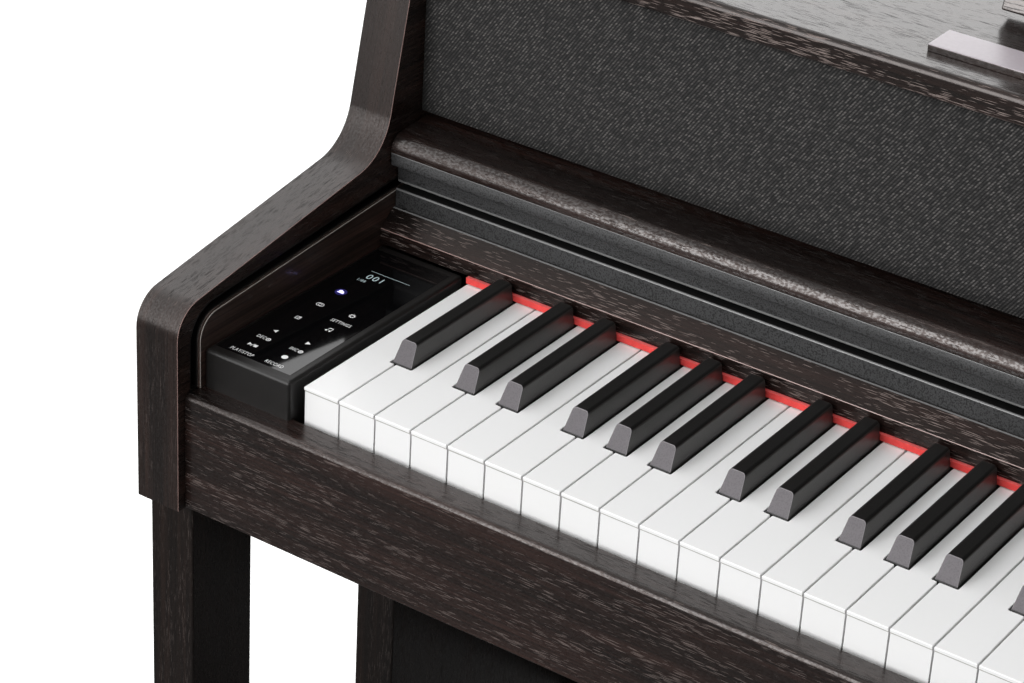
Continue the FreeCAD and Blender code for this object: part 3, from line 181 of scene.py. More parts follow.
def make_rosewood_group():
    """Dark open-pored wood whose grain runs along the first axis of the vector."""
    group, tree, source, drain = new_group(
        "open_pored_grain",
        [("Along", "Vector"), ("Dark", "Color"), ("Streak", "Color"), ("Pore", "Color"),
         ("Pores", "Float"), ("Gloss", "Float"), ("Sparkle", "Float")],
        [("Color", "Color"), ("Roughness", "Float"), ("Shine", "Float"), ("Filled", "Float"),
         ("Height", "Float")],
    )
    along = source["Along"]
    bands = tree.noise(tree.scaled(along, (3.2, 70, 70)), detail=4, distortion=0.4)
    fibres = tree.noise(tree.scaled(along, (190, 1500, 1500)), detail=2.5, roughness=0.65)
    streaks = tree.noise(tree.scaled(along, (14, 900, 900)), detail=3)
    short = tree.cells(tree.scaled(along, (85, 1900, 1900)))
    crowd = tree.noise(tree.scaled(along, (14, 150, 150)), detail=2)
    wood = tree.mix(tree.span(bands, 0.42, 0.7), source["Dark"], source["Streak"])
    wood = tree.mix(tree.span(streaks, 0.35, 0.68, 0.75, 0.0), wood, colour(6, 5, 5))
    wide = tree.math("MULTIPLY", source["Pores"], 0.06)
    reach = tree.math("ADD", tree.span(crowd, 0.34, 0.62, 0.12, 0.34), wide)
    pores = tree.math("MULTIPLY", tree.math("SUBTRACT", reach, short), 14, clamp=True)
    # The Pore colour carries painted highlight or painted shade, chosen by the facing of each face.
    tree.feed(drain["Color"], tree.mix(tree.math("MULTIPLY", pores, source["Pores"]), wood,
                                       source["Pore"]))
    rough = tree.math("ADD", source["Gloss"], tree.span(fibres, 0.3, 0.75, 0.0, 0.08))
    tree.feed(drain["Roughness"], tree.math("ADD", rough, tree.math("MULTIPLY", pores, 0.6)))
    grains = tree.noise(tree.scaled(along, (520, 900, 900)), detail=1)
    glints = tree.math("MULTIPLY", tree.span(grains, 0.42, 0.6, -0.5, 0.5), source["Sparkle"])
    tree.feed(drain["Shine"], tree.math("ADD", glints, 0.5))
    tree.feed(drain["Filled"], tree.span(pores, 0, 1, 1.0, 0.45))
    dips = tree.math("MULTIPLY", pores, -1.0)
    tree.feed(drain["Height"], tree.math("ADD", dips, tree.math("MULTIPLY", fibres, 0.15)))
    return group


def make_speckle_group():
    """Moulded plastic with a fine spark-eroded skin and small dark dots."""
    group, tree, source, drain = new_group(
        "moulded_speckle",
        [("Place", "Vector"), ("Ground", "Color"), ("Dot", "Color"), ("Grain", "Float"),
         ("Gloss", "Float")],
        [("Color", "Color"), ("Roughness", "Float"), ("Height", "Float")],
    )
    fine = tree.cells(tree.scaled(source["Place"], (2200, 2200, 2200)))
    dots = tree.noise(tree.scaled(source["Place"], (1250, 1250, 1250)), detail=1)
    dots = tree.span(dots, 0.40, 0.50, 1.0, 0.0)
    cloud = tree.noise(tree.scaled(source["Place"], (9, 9, 9)), detail=2)
    ground = tree.mix(tree.span(cloud, 0.3, 0.7, 0.0, 0.25), source["Ground"], source["Dot"])
    tree.feed(drain["Color"], tree.mix(tree.math("MULTIPLY", dots, source["Grain"]), ground,
                                       source["Dot"]))
    tree.feed(drain["Roughness"], tree.math("ADD", source["Gloss"],
                                            tree.span(fine, 0.0, 0.8, 0.0, 0.18)))
    tree.feed(drain["Height"], tree.math("SUBTRACT", fine, tree.math("MULTIPLY", dots, 0.6)))
    return group


def make_twill_group():
    """Steep twill: slanted ribs of short stitches, painted from the Shadow colour in the troughs,
    painted shade, to the thread colour on the crests; some stitches lighter at random, most at
    their crests, a painted highlight.
    """
    group, tree, source, drain = new_group(
        "steep_twill",
        [("Place", "Vector"), ("Thread", "Color"), ("Shadow", "Color"), ("Light", "Color")],
        [("Color", "Color"), ("Height", "Float")],
    )
    x, y, z = tree.split(source["Place"])
    pitch, row_pitch = 1.65 * MM, 1.45 * MM
    lean = math.radians(55.5)
    across = tree.math("SUBTRACT", tree.math("MULTIPLY", x, math.sin(lean) / pitch),
                       tree.math("MULTIPLY", z, math.cos(lean) / pitch))
    up = tree.math("MULTIPLY", z, 1 / row_pitch)
    row = tree.math("FLOOR", across)
    rib = tree.math("SINE", tree.math("MULTIPLY", tree.math("FRACT", across), math.pi))
    turn = tree.math("SINE", tree.math("MULTIPLY", tree.math("FRACT", up), math.pi))
    ridge = tree.math("POWER", rib, 1.4)
    height = tree.math("MULTIPLY", ridge, tree.span(turn, 0, 1, 0.6, 1.0))
    chance = tree.add("ShaderNodeTexWhiteNoise", noise_dimensions="2D")
    tree.feed(chance.inputs["Vector"], tree.join(row, tree.math("FLOOR", up), 0.0))
    fuzz = tree.noise(tree.scaled(source["Place"], (1900, 1900, 1900)), detail=2)
    stitch = tree.math("MULTIPLY", height, tree.span(chance.outputs["Value"], 0, 1, 0.3, 1.1))
    body = tree.mix(tree.math("MULTIPLY", stitch, tree.span(fuzz, 0.3, 0.7, 0.6, 1.1), clamp=True),
                    source["Shadow"], source["Thread"])
    # Some stitches turn lighter at their crests, a painted highlight.
    crest_highlight = tree.math("POWER", tree.math("MULTIPLY", chance.outputs["Value"], height), 4)
    tree.feed(drain["Color"], tree.mix(tree.math("MULTIPLY", crest_highlight, 0.7), body,
                                       source["Light"]))
    tree.feed(drain["Height"], height)
    return group


def make_handled_group():
    """Faint smudges and dust that break up an even gloss."""
    group, tree, source, drain = new_group(
        "handled_surface",
        [("Place", "Vector"), ("Roughness", "Float"), ("Spread", "Float"), ("Tint", "Color"),
         ("Ground", "Color")],
        [("Color", "Color"), ("Roughness", "Float"), ("Height", "Float")],
    )
    broad = tree.noise(tree.scaled(source["Place"], (11, 11, 11)), detail=3)
    fine = tree.noise(tree.scaled(source["Place"], (420, 420, 420)), detail=3)
    both = tree.math("ADD", tree.math("MULTIPLY", broad, 0.65), tree.math("MULTIPLY", fine, 0.35))
    shift = tree.math("MULTIPLY", tree.span(both, 0.35, 0.65, -1.0, 1.0), source["Spread"])
    tree.feed(drain["Roughness"], tree.math("ADD", source["Roughness"], shift, clamp=True))
    tree.feed(drain["Color"], tree.mix(tree.span(both, 0.4, 0.7, 0.0, 0.6), source["Ground"],
                                       source["Tint"]))
    tree.feed(drain["Height"], fine)
    return group


ROSEWOOD = make_rosewood_group()
SPECKLE = make_speckle_group()
TWILL = make_twill_group()
HANDLED = make_handled_group()

# ------------------------------------------------------------------- finishes


def finish(name, **sockets):
    """An empty material with its surface shader; sockets are set to plain values."""
    material = bpy.data.materials.new(name)
    material.use_nodes = True
    tree = Tree(material.node_tree)
    shader = material.node_tree.nodes["Principled BSDF"]
    for label, value in sockets.items():
        shader.inputs[label.replace("_", " ")].default_value = value
    place = tree.add("ShaderNodeTexCoord").outputs
    return material, tree, shader, place


def relief(tree, shader, height, strength, distance):
    bump = tree.add("ShaderNodeBump")
    bump.inputs["Strength"].default_value = strength
    bump.inputs["Distance"].default_value = distance
    tree.feed(bump.inputs["Height"], height)
    tree.feed(shader.inputs["Normal"], bump.outputs["Normal"])


# Faces whose normal rises past the second number count as level, below the first as upright.
LEVEL_SPAN = (0.82, 0.93)
FLAT_SIDE = 0.75
# Pores on level faces are painted near black, painted shade where they miss the sheen that level
# faces reflect.
LEVEL_PORE_SHADE = (12, 10, 9)


def rosewood(name, direction, gloss=0.25, dark=(25, 18, 16), streak=(50, 34, 30), pores=0.25,
             painted_pore_light=(176, 160, 154), sparkle=0.8, coat=0.6, level_coat=0.3, ior=1.45):
    """Rosewood laminate: direction is x, y or z, or "side" for the shaped side panels.

    coat is the lacquer on upright faces and level_coat the lacquer on level ones.
    painted_pore_light is the pores' colour on upright faces: a painted highlight where it is
    lighter than the wood, painted shade where it is darker. On level faces the pores are
    painted near black at full strength, painted shade.
    """
    material, tree, shader, place = finish(name, IOR=ior, Coat_Roughness=0.16,
                                           Specular_Tint=(1.0, 0.88, 0.84, 1.0))
    x, y, z = tree.split(place["Object"])
    upward = tree.split(place["Normal"])[2]
    grain_first = {"x": (x, y, z), "y": (y, z, x), "z": (z, x, y), "side": (y, z, x)}
    along = tree.join(*grain_first[direction])
    if direction == "side":
        facing = tree.math("ABSOLUTE", tree.split(place["Normal"])[0])
        narrow_edge = tree.join(tree.math("ADD", y, z), x, 0.0)
        choice = tree.add("ShaderNodeMix", data_type="VECTOR")
        tree.feed(choice.inputs["Factor"], tree.math("GREATER_THAN", facing, FLAT_SIDE))
        tree.feed(choice.inputs[4], narrow_edge)
        tree.feed(choice.inputs[5], along)
        along = choice.outputs[1]
    level = tree.span(upward, *LEVEL_SPAN)
    # The pores' colour follows the facing of the face: a painted highlight on upright faces,
    # painted shade on level ones.
    pore_highlight_and_shade = tree.mix(level, colour(*painted_pore_light), colour(*LEVEL_PORE_SHADE))
    grain = tree.group(ROSEWOOD, Along=along, Dark=colour(*dark), Streak=colour(*streak),
                       Pore=pore_highlight_and_shade, Pores=tree.span(level, 0, 1, pores, 1.0), Gloss=gloss,
                       Sparkle=sparkle)
    tree.feed(shader.inputs["Base Color"], grain["Color"])
    tree.feed(shader.inputs["Roughness"], grain["Roughness"])
    upright_coat = tree.math("MULTIPLY", grain["Shine"], tree.span(level, 0, 1, coat, 0.0))
    lacquer = tree.math("MAXIMUM", upright_coat, tree.math("MULTIPLY", level, level_coat))
    tree.feed(shader.inputs["Coat Weight"], tree.math("MULTIPLY", lacquer, grain["Filled"]))
    relief(tree, shader, grain["Height"], 0.8, 0.14 * MM)
    return material


def moulded(name, ground, dot, grain=0.8, strength=0.5, gloss=0.42, **sockets):
    material, tree, shader, place = finish(name, **sockets)
    skin = tree.group(SPECKLE, Place=place["Object"], Ground=colour(*ground), Dot=colour(*dot),
                      Grain=grain, Gloss=gloss)
    tree.feed(shader.inputs["Base Color"], skin["Color"])
    tree.feed(shader.inputs["Roughness"], skin["Roughness"])
    relief(tree, shader, skin["Height"], strength, 0.1 * MM)
    return material


def smooth(name, ground, tint, roughness, spread=0.05, strength=0.05, **sockets):
    """Plastic, metal or paint with only faint marks of handling."""
    material, tree, shader, place = finish(name, **sockets)
    skin = tree.group(HANDLED, Place=place["Object"], Ground=colour(*ground), Tint=colour(*tint),
                      Roughness=roughness, Spread=spread)
    tree.feed(shader.inputs["Base Color"], skin["Color"])
    tree.feed(shader.inputs["Roughness"], skin["Roughness"])
    relief(tree, shader, skin["Height"], strength, 0.05 * MM)
    return material


def woven(name):
    material, tree, shader, place = finish(name, Roughness=0.92)
    cloth = tree.group(TWILL, Place=place["Object"], Thread=colour(74, 72, 71),
                       Shadow=colour(3, 3, 4), Light=colour(120, 116, 114))
    tree.feed(shader.inputs["Base Color"], cloth["Color"])
    relief(tree, shader, cloth["Height"], 0.8, 0.4 * MM)
    return material


def felted(name, ground, shade):
    material, tree, shader, place = finish(name, Roughness=0.95, Sheen_Weight=0.4)
    hairs = tree.noise(tree.scaled(place["Object"], (1500, 1500, 1500)), detail=4, roughness=0.7)
    lumps = tree.noise(tree.scaled(place["Object"], (160, 160, 160)), detail=2)
    tree.feed(shader.inputs["Base Color"],
              tree.mix(tree.span(lumps, 0.3, 0.7, 0.0, 0.6), colour(*ground), colour(*shade)))
    relief(tree, shader, hairs, 0.7, 0.3 * MM)
    return material


WOOD_X = rosewood("rosewood_lengthwise", "x")
WOOD_LOW = rosewood("rosewood_lower_panel", "x", dark=(18, 13, 12), streak=(34, 24, 21), pores=0.15,
                    coat=0.15, ior=1.4)
WOOD_TOP = rosewood("rosewood_top", "x", pores=0.5, sparkle=0.1, level_coat=0.7)
WOOD_LID = rosewood("rosewood_lid", "x", pores=0.06, sparkle=1.0, coat=1.0)
# The side panels' inner faces are painted in a lighter rosewood as painted light, where the lamps
# leave them in shade.
WOOD_INNER_PAINTED_LIGHT = rosewood("rosewood_inner_side_painted_lighter", "y", dark=(44, 33, 29), streak=(72, 52, 45),
                      pores=0.05, coat=0.3)
WOOD_Y = rosewood("rosewood_front_to_back", "y", pores=0.1)
WOOD_Z = rosewood("rosewood_upright", "z", dark=(16, 12, 10), streak=(34, 24, 20), pores=0.08,
                  coat=0.15, ior=1.4)
WOOD_SIDE = rosewood("rosewood_side_panel", "side", dark=(24, 18, 16), streak=(44, 32, 28),
                     pores=0.06)
WOOD_RED = rosewood("rosewood_nameboard", "x", dark=(23, 17, 15), streak=(44, 31, 28),
                    pores=0.4, coat=0.05, ior=1.36)
# The desk's pores are painted dark, painted shade against its bright reflecting face.
WOOD_DESK = rosewood("rosewood_desk", "x", pores=0.6, painted_pore_light=(34, 30, 29), sparkle=0.1, coat=1.6,
                     ior=1.6)
# The linings are painted in a much lighter rosewood as painted light, where the lamps hardly reach.
WOOD_LINING_PAINTED_LIGHT = rosewood("rosewood_lining_painted_lighter", "y", dark=(66, 50, 44), streak=(112, 80, 70),
                       pores=0.05, gloss=0.45)
EDGE_LINE = smooth("sanded_edge", (150, 122, 116), (112, 86, 82), 0.4, spread=0.1)
# A pale pink for the nameboard's corner rounding, a painted highlight.
NAMEBOARD_HIGHLIGHT = smooth("nameboard_corner_painted_highlight", (152, 126, 120), (104, 80, 75), 0.25, spread=0.1)
BOARD = moulded("board_wood", (84, 68, 54), (50, 38, 30))
WHITE_KEY = smooth("white_key", (236, 236, 236), (234, 234, 233), 0.3, 0.02, strength=0.01,
                   Coat_Weight=0.15)
BLACK_KEY = moulded("black_key", (15, 14, 13), (10, 9, 9), grain=0.5, strength=0.1, gloss=0.24)
# Lighter copies of the black key plastic: its sides as a painted reflection of the white keys, its
# slanted front as painted light.
KEY_SIDE_REFLECTION = moulded("black_key_side_painted_reflection", (54, 52, 50), (44, 42, 41), grain=0.4, strength=0.1,
                   gloss=0.24, IOR=1.6)
KEY_NOSE_LIT = moulded("black_key_nose_painted_light", (82, 77, 81), (64, 60, 63), grain=0.5, strength=0.25)
# Near black for places that stand in shade, a painted shade.
SHADE_BLACK = moulded("painted_shade_black", (7, 6, 6), (4, 4, 4))
# A grey strip under each white key's lip, the lip's painted shadow.
KEY_LIP_SHADOW = smooth("white_key_lip_painted_shadow", (176, 174, 170), (160, 158, 153), 0.6)
# A light rim round the black key's slanted front, a painted highlight.
KEY_RIM_HIGHLIGHT = smooth("black_key_rim_painted_highlight", (122, 118, 121), (96, 92, 95), 0.3)
BLACK_PLASTIC = smooth("black_plastic", (17, 15, 14), (24, 22, 21), 0.42, strength=0.15)
TEXTURED = moulded("textured_plastic", (56, 56, 57), (10, 10, 10), grain=1.0)
# Light lines on the linings' edges, a painted highlight.
LINING_HIGHLIGHT = smooth("lining_edge_painted_highlight", (168, 162, 156), (130, 124, 118), 0.2)
# A light grey for thin lines on the textured trim and the nameboard's upper edge, a painted
# highlight.
TRIM_HIGHLIGHT = smooth("trim_painted_highlight", (112, 112, 112), (90, 90, 90), 0.2)
BLACK_GLASS = smooth("black_glass", (6, 6, 7), (9, 9, 10), 0.06, spread=0.02, strength=0.0)
RED_FELT = felted("red_felt", (232, 66, 62), (200, 40, 38))
CLOTH = woven("speaker_cloth")
SPEAKER_BLACK = smooth("speaker_black", (18, 18, 18), (30, 30, 30), 0.6)
# A pale lilac grey for the ledge's top, a painted reflection of the bright backdrop.
LEDGE_TOP_REFLECTION = smooth("ledge_gloss", (176, 168, 174), (156, 147, 153), 0.3, spread=0.05,
               Coat_Weight=0.4, Coat_Roughness=0.3)
STEEL = smooth("steel", (190, 190, 188), (150, 150, 150), 0.32, Metallic=1.0)
BLACK_METAL = smooth("black_metal", (22, 22, 23), (34, 34, 34), 0.45, Metallic=0.4)
BRASS = smooth("brass", (222, 178, 96), (188, 140, 66), 0.2, Metallic=1.0)
RUBBER = felted("rubber", (26, 26, 26), (40, 40, 40))
CIRCUIT = smooth("circuit_board", (18, 66, 40), (26, 92, 52), 0.35)

# ------------------------------------------------------------------ refined boards


def is_sharp(edge, degrees=30):
    return len(edge.link_faces) == 2 and edge.calc_face_angle(0.0) > math.radians(degrees)


def refined(name, material, rounding=0.6 * MM, segments=2, line=None, spots=(),
            line_material=EDGE_LINE, level=None):
    """A copy of a CAD node with its facets merged and its sharp edges slightly rounded.

    line picks the edges whose rounding shows as a thin line of line_material, and spots
    are pairs of a test for faces and the material of those faces.  level is a height at
    which the faces are split first.
    """
    source = NODES[name]
    shape = bmesh.new()
    shape.from_mesh(source.data)
    bmesh.ops.remove_doubles(shape, verts=shape.verts, dist=0.002 * MM)
    bmesh.ops.dissolve_limit(shape, angle_limit=math.radians(0.6), verts=shape.verts,
                             edges=shape.edges)
    if level is not None:
        bmesh.ops.bisect_plane(shape, geom=shape.verts[:] + shape.edges[:] + shape.faces[:],
                               plane_co=(0, 0, level), plane_no=(0, 0, 1))
    lined = [edge for edge in shape.edges if line and is_sharp(edge) and line(edge)]
    if lined:
        bmesh.ops.bevel(shape, geom=lined, offset=rounding, segments=segments, profile=0.5,
                        affect="EDGES", material=1, clamp_overlap=True)
    for face in shape.faces:
        for number, (test, _) in enumerate(spots):
            if face.material_index == 0 and test(face):
                face.material_index = 2 + number
    mesh = bpy.data.meshes.new(name + "_shaped")
    shape.to_mesh(mesh)
    shape.free()
    if "custom_normal" in mesh.attributes:
        mesh.attributes.remove(mesh.attributes["custom_normal"])
    piece = bpy.data.objects.new(name + "_shaped", mesh)
    bpy.context.scene.collection.objects.link(piece)
    for used in (material, line_material, *[spot[1] for spot in spots]):
        mesh.materials.append(used)
    mesh.polygons.foreach_set("use_smooth", [True] * len(mesh.polygons))
    soft = piece.modifiers.new("rounded_edges", "BEVEL")
    soft.width = rounding
    soft.segments = segments
    soft.limit_method = "ANGLE"
    soft.angle_limit = math.radians(32)
    even = piece.modifiers.new("even_faces", "WEIGHTED_NORMAL")
    even.keep_sharp = True
    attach(piece, source["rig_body"])
    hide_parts(name)
    return piece


def paint(material, *names):
    for name in names:
        NODES[name].data.materials[0] = material


inner_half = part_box("key_slip")[1].x


def inner_outline(edge):
    """Edges of a side panel's outline on the side of the keys, in front of the top board."""
    ends = [vert.co for vert in edge.verts]
    beside_keys = all(abs(abs(end.x) - inner_half) < 0.1 * MM for end in ends)
    front = all(end.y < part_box("top_board")[0].y + 10 * MM for end in ends)
    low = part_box("side_panel_left")[0]
    outside = all(end.y < low.y + 1 * MM or end.z > KEY_TOP + 20 * MM for end in ends)
    return beside_keys and front and outside


def nameboard_back(edge):
    """The upper edge of the nameboard, against the rest strip, painted as a light line, a painted
    highlight.
    """
    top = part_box("nameboard")[1].z
    return all(vert.co.z > top - 0.1 * MM for vert in edge.verts)


def nameboard_corner(face):
    """The rounding between the nameboard's upright face and its bevel, painted pale as a painted
    highlight.
    """
    return face.normal.y < -0.75 and 0.08 < face.normal.z < 0.72


def inner_face(face):
    """The side of a side panel that looks at the keys, painted lighter as painted light."""
    return face.normal.x * face.calc_center_median().x < 0 and abs(face.normal.x) > 0.9


def lining_outline(edge):
    """Both edges of the linings' narrow sides, above the key slip, painted as light lines, a
    painted highlight.
    """
    ends = [vert.co for vert in edge.verts]
    return abs(ends[0].x - ends[1].x) < 0.1 * MM and all(
        end.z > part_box("key_slip")[1].z - 1 * MM for end in ends)


def rest_corner(face):
    """The upper front rounding of the rest strip, painted as a light line, a painted highlight."""
    return face.normal.y < -0.3 and face.normal.z > 0.3


def trim_lip(edge):
    """The upper front edge of the trim under the lid, painted as a light line, a painted highlight.
    """
    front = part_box("lid_trim")[0].y
    return all(vert.co.y < front + 0.1 * MM for vert in edge.verts) and any(
        face.normal.z > 0.9 for face in edge.link_faces)


TOE_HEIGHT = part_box("lid_trim")[0].z + 1.7 * MM


def trim_toe(face):
    """The lower front corner of the trim under the lid, painted as a light line, a painted
    highlight.
    """
    return face.normal.y < -0.2 and face.calc_center_median().z < TOE_HEIGHT


for side in ("left", "right"):
    # The inner faces take the lighter wood, painted light.
    refined("side_panel_" + side, WOOD_SIDE, line=inner_outline,
            spots=[(inner_face, WOOD_INNER_PAINTED_LIGHT)])
    refined("front_leg_" + side, WOOD_Z, rounding=0.4 * MM)
    refined("rear_board_" + side, WOOD_Z, rounding=0.4 * MM)
    refined("foot_" + side, WOOD_Y)
refined("key_slip", WOOD_X)
refined("lid_panel", WOOD_LID)
# The nameboard's upper edge and its corner rounding are painted as light lines, painted highlights.
refined("nameboard", WOOD_RED, rounding=0.5 * MM, line=nameboard_back,
        line_material=TRIM_HIGHLIGHT, spots=[(nameboard_corner, NAMEBOARD_HIGHLIGHT)])
refined("top_board", WOOD_TOP)
refined("music_desk", WOOD_DESK, rounding=1.2 * MM, segments=3)
refined("lower_back_panel", WOOD_LOW)
refined("pedal_box", WOOD_LOW)
# The linings carry painted light in their wood and a painted highlight on their outline edges.
refined("inner_boards", WOOD_LINING_PAINTED_LIGHT, rounding=0.35 * MM, line=lining_outline,
        line_material=LINING_HIGHLIGHT)
# The ledge's upward faces take the painted reflection.
refined("music_ledge", WOOD_X, rounding=0.3 * MM,
        spots=[(lambda face: face.normal.z > 0.5, LEDGE_TOP_REFLECTION)])
# The rest strip's upper front rounding and the trim's upper front edge and lower front corner are
# painted as light lines, painted highlights.
refined("rest_strip", TEXTURED, rounding=0.4 * MM,
        # The rest strip's top is painted near black, painted shade under the trim.
        spots=[(rest_corner, TRIM_HIGHLIGHT), (lambda face: face.normal.z > 0.9, SHADE_BLACK)])
refined("lid_trim", TEXTURED, rounding=0.3 * MM, line=trim_lip,
        spots=[(trim_toe, TRIM_HIGHLIGHT)], line_material=TRIM_HIGHLIGHT, level=TOE_HEIGHT)
refined("touch_panel", BLACK_GLASS, rounding=0.3 * MM)

WHITE_NODES = [name for name in NODES if name.startswith("key") and "sharp" not in name
               and "black" not in name and name not in ("key_slip", "keybed", "key_chassis")]
BLACK_NODES = [name for name in NODES if "sharp" in name or name.startswith("keys_black")]


def under_lip_shadow(face):
    """A narrow strip of a white key's front, just under its lip, painted grey as the lip's painted
    shadow.
    """
    middle = face.calc_center_median()
    return (face.normal.y < -0.9 and middle.y > KEY_FRONT + LIP_DEPTH / 2
            and KEY_TOP - LIP_SHADOW_DEPTH < middle.z < KEY_TOP - LIP_HEIGHT)


# White keys are split at the bottom of the lip's painted shadow.
for name in WHITE_NODES:
    refined(name, WHITE_KEY, rounding=0.25 * MM, spots=[(under_lip_shadow, KEY_LIP_SHADOW)],
            level=KEY_TOP - LIP_SHADOW_DEPTH)


# The part of a black key below the white key tops, painted near black as painted shade in the gaps
# around its foot.
def key_foot(face):
    return face.calc_center_median().z < KEY_TOP


def key_nose(face):
    """The slanted front of a black key, painted lighter as painted light."""
    return face.normal.y < -0.7 and face.normal.z > 0.3 and not key_foot(face)


# A black key's long sides, painted lighter as a painted reflection.
def key_side(face):
    return abs(face.normal.x) > 0.8


def nose_outline(edge):
    """The edges where a black key's slanted front meets its sides and top, painted as a light rim,
    a painted highlight.
    """
    above = all(vert.co.z > KEY_TOP + 0.3 * MM for vert in edge.verts) or abs(
        edge.verts[0].co.z - edge.verts[1].co.z) > 1 * MM
    return above and any(key_nose(face) for face in edge.link_faces)


# Black keys: painted shade on the foot, painted light on the slanted front, painted reflection on
# the sides and a painted highlight on the front's rim.
for name in BLACK_NODES:
    refined(name, BLACK_KEY, rounding=0.25 * MM, line=nose_outline,
            spots=[(key_foot, SHADE_BLACK), (key_nose, KEY_NOSE_LIT), (key_side, KEY_SIDE_REFLECTION)],
            line_material=KEY_RIM_HIGHLIGHT, level=KEY_TOP)
paint(BLACK_PLASTIC, "cheek_block_left", "cheek_block_right", "lid_tracks", "volume_knob",
      "power_button")
paint(BOARD, "keybed", "back_board", "baffle_board")
paint(RED_FELT, "nameboard_felt")
paint(SPEAKER_BLACK, "speakers")
paint(STEEL, "key_chassis", "pedal_shaft", "lid_pins", "desk_hinge_bases",
      "desk_hinge_knuckles", "screws")
paint(BLACK_METAL, "jack_panel")
paint(BRASS, "pedal_left", "pedal_middle", "pedal_right")
paint(RUBBER, "glides")
paint(CIRCUIT, "circuit_boards")

# ---------------------------------------------------------------- speaker cloth


CLOTH_GAP = 0.6 * MM
CLOTH_CROWN = 0.9 * MM
CLOTH_THICKNESS = 0.4 * MM


def make_cloth():
    """Woven cloth stretched over the speaker baffle, a little proud in its middle."""
    low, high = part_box("speaker_cloth")
    middle = (low + high) / 2
    shape = bmesh.new()
    bmesh.ops.create_grid(shape, x_segments=120, y_segments=10, size=0.5)
    width, height = high.x - low.x, high.z - low.z
    bmesh.ops.transform(shape, verts=shape.verts, matrix=(
        Matrix.Translation((middle.x, high.y - CLOTH_GAP, middle.z))
        @ Matrix.Rotation(math.radians(90), 4, "X") @ Matrix.Diagonal((width, height, 1, 1))))
    for vert in shape.verts:
        across = (vert.co.x - middle.x) / (width / 2)
        up = (vert.co.z - middle.z) / (height / 2)
        vert.co.y -= CLOTH_CROWN * (1 - across ** 8) * (1 - up ** 6)
    mesh = bpy.data.meshes.new("grille_cloth")
    shape.to_mesh(mesh)
    shape.free()
    mesh.polygons.foreach_set("use_smooth", [True] * len(mesh.polygons))
    mesh.materials.append(CLOTH)
    piece = bpy.data.objects.new("grille_cloth", mesh)
    bpy.context.scene.collection.objects.link(piece)
    body = piece.modifiers.new("cloth_thickness", "SOLIDIFY")
    body.thickness = CLOTH_THICKNESS
    body.offset = 0
    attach(piece, "case")
    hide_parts("speaker_cloth")


make_cloth()

# ------------------------------------------------------- signs on the touch panel

panel_low, panel_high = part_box("touch_panel")
INK_THICKNESS = 0.05 * MM
ink = bmesh.new()


def at_sign(x, y, turn=0.0):
    """A place on the glass, from its front left corner in millimetres."""
    return (Matrix.Translation((panel_low.x + x * MM, panel_low.y + y * MM, panel_high.z))
            @ Matrix.Rotation(math.radians(turn), 4, "Z"))


def thicken(shape, faces):
    """Raise flat faces into a thin layer of ink."""
    grown = bmesh.ops.extrude_face_region(shape, geom=faces, use_keep_orig=True)
    lifted = [item for item in grown["geom"] if isinstance(item, bmesh.types.BMVert)]
    bmesh.ops.translate(shape, verts=lifted, vec=(0, 0, INK_THICKNESS))


def disc(shape, x, y, radius, sides=20, turn=0.0, hole=0.0):
    """A flat round, or a ring with a hole; with three sides, an arrow head."""
    made = bmesh.ops.create_circle(shape, cap_ends=True, radius=radius * MM, segments=sides,
                                   matrix=at_sign(x, y, turn))
    faces = list({face for vert in made["verts"] for face in vert.link_faces})
    if hole:
        ring = bmesh.ops.inset_region(shape, faces=faces, thickness=(radius - hole) * MM,
                                      use_boundary=True, use_even_offset=True)["faces"]
        bmesh.ops.delete(shape, geom=faces, context="FACES_ONLY")
        faces = ring
    thicken(shape, faces)


def bar(shape, x, y, length, width, turn=0.0):
    matrix = at_sign(x, y, turn) @ Matrix.Diagonal((length * MM, width * MM, 1, 1))
    made = bmesh.ops.create_grid(shape, x_segments=1, y_segments=1, size=0.5, matrix=matrix)
    thicken(shape, list({face for vert in made["verts"] for face in vert.link_faces}))


def word(shape, text, x, y, height, narrow=0.68):
    """Flat lettering, middled on its place."""
    letters = bpy.data.curves.new("letters", "FONT")
    letters.body = text
    letters.size = height * MM * 1.4
    letters.offset = -0.006 * height * MM
    letters.space_character = 1.16
    letters.align_x = "CENTER"
    letters.align_y = "CENTER"
    letters.extrude = INK_THICKNESS / 2
    letters.resolution_u = 3
    holder = bpy.data.objects.new("letters", letters)
    bpy.context.scene.collection.objects.link(holder)
    bpy.context.view_layer.update()
    mesh = bpy.data.meshes.new_from_object(holder.evaluated_get(
        bpy.context.evaluated_depsgraph_get()))
    mesh.transform(at_sign(x, y) @ Matrix.Translation((0, 0, INK_THICKNESS / 2))
                   @ Matrix.Diagonal((narrow, 1, 1, 1)))
    shape.from_mesh(mesh)
    bpy.data.objects.remove(holder)
    bpy.data.meshes.remove(mesh)


def quavers(shape, x, y, size):
    """Two notes joined by a beam."""
    for stem in (-0.5, 0.7):
        disc(shape, x + (stem - 0.35) * size, y - 0.7 * size, 0.36 * size, 14)
        bar(shape, x + (stem - 0.06) * size, y + 0.1 * size, 0.16 * size, 1.6 * size)
    bar(shape, x + 0.05 * size, y + 0.85 * size, 1.3 * size, 0.26 * size, 6)


def cog(shape, x, y, size, teeth=8):
    disc(shape, x, y, 0.8 * size, 24, hole=0.55 * size)
    for number in range(teeth):
        angle = 2 * math.pi * number / teeth
        bar(shape, x + 0.9 * size * math.cos(angle), y + 0.9 * size * math.sin(angle),
            0.3 * size, 0.34 * size, math.degrees(angle))


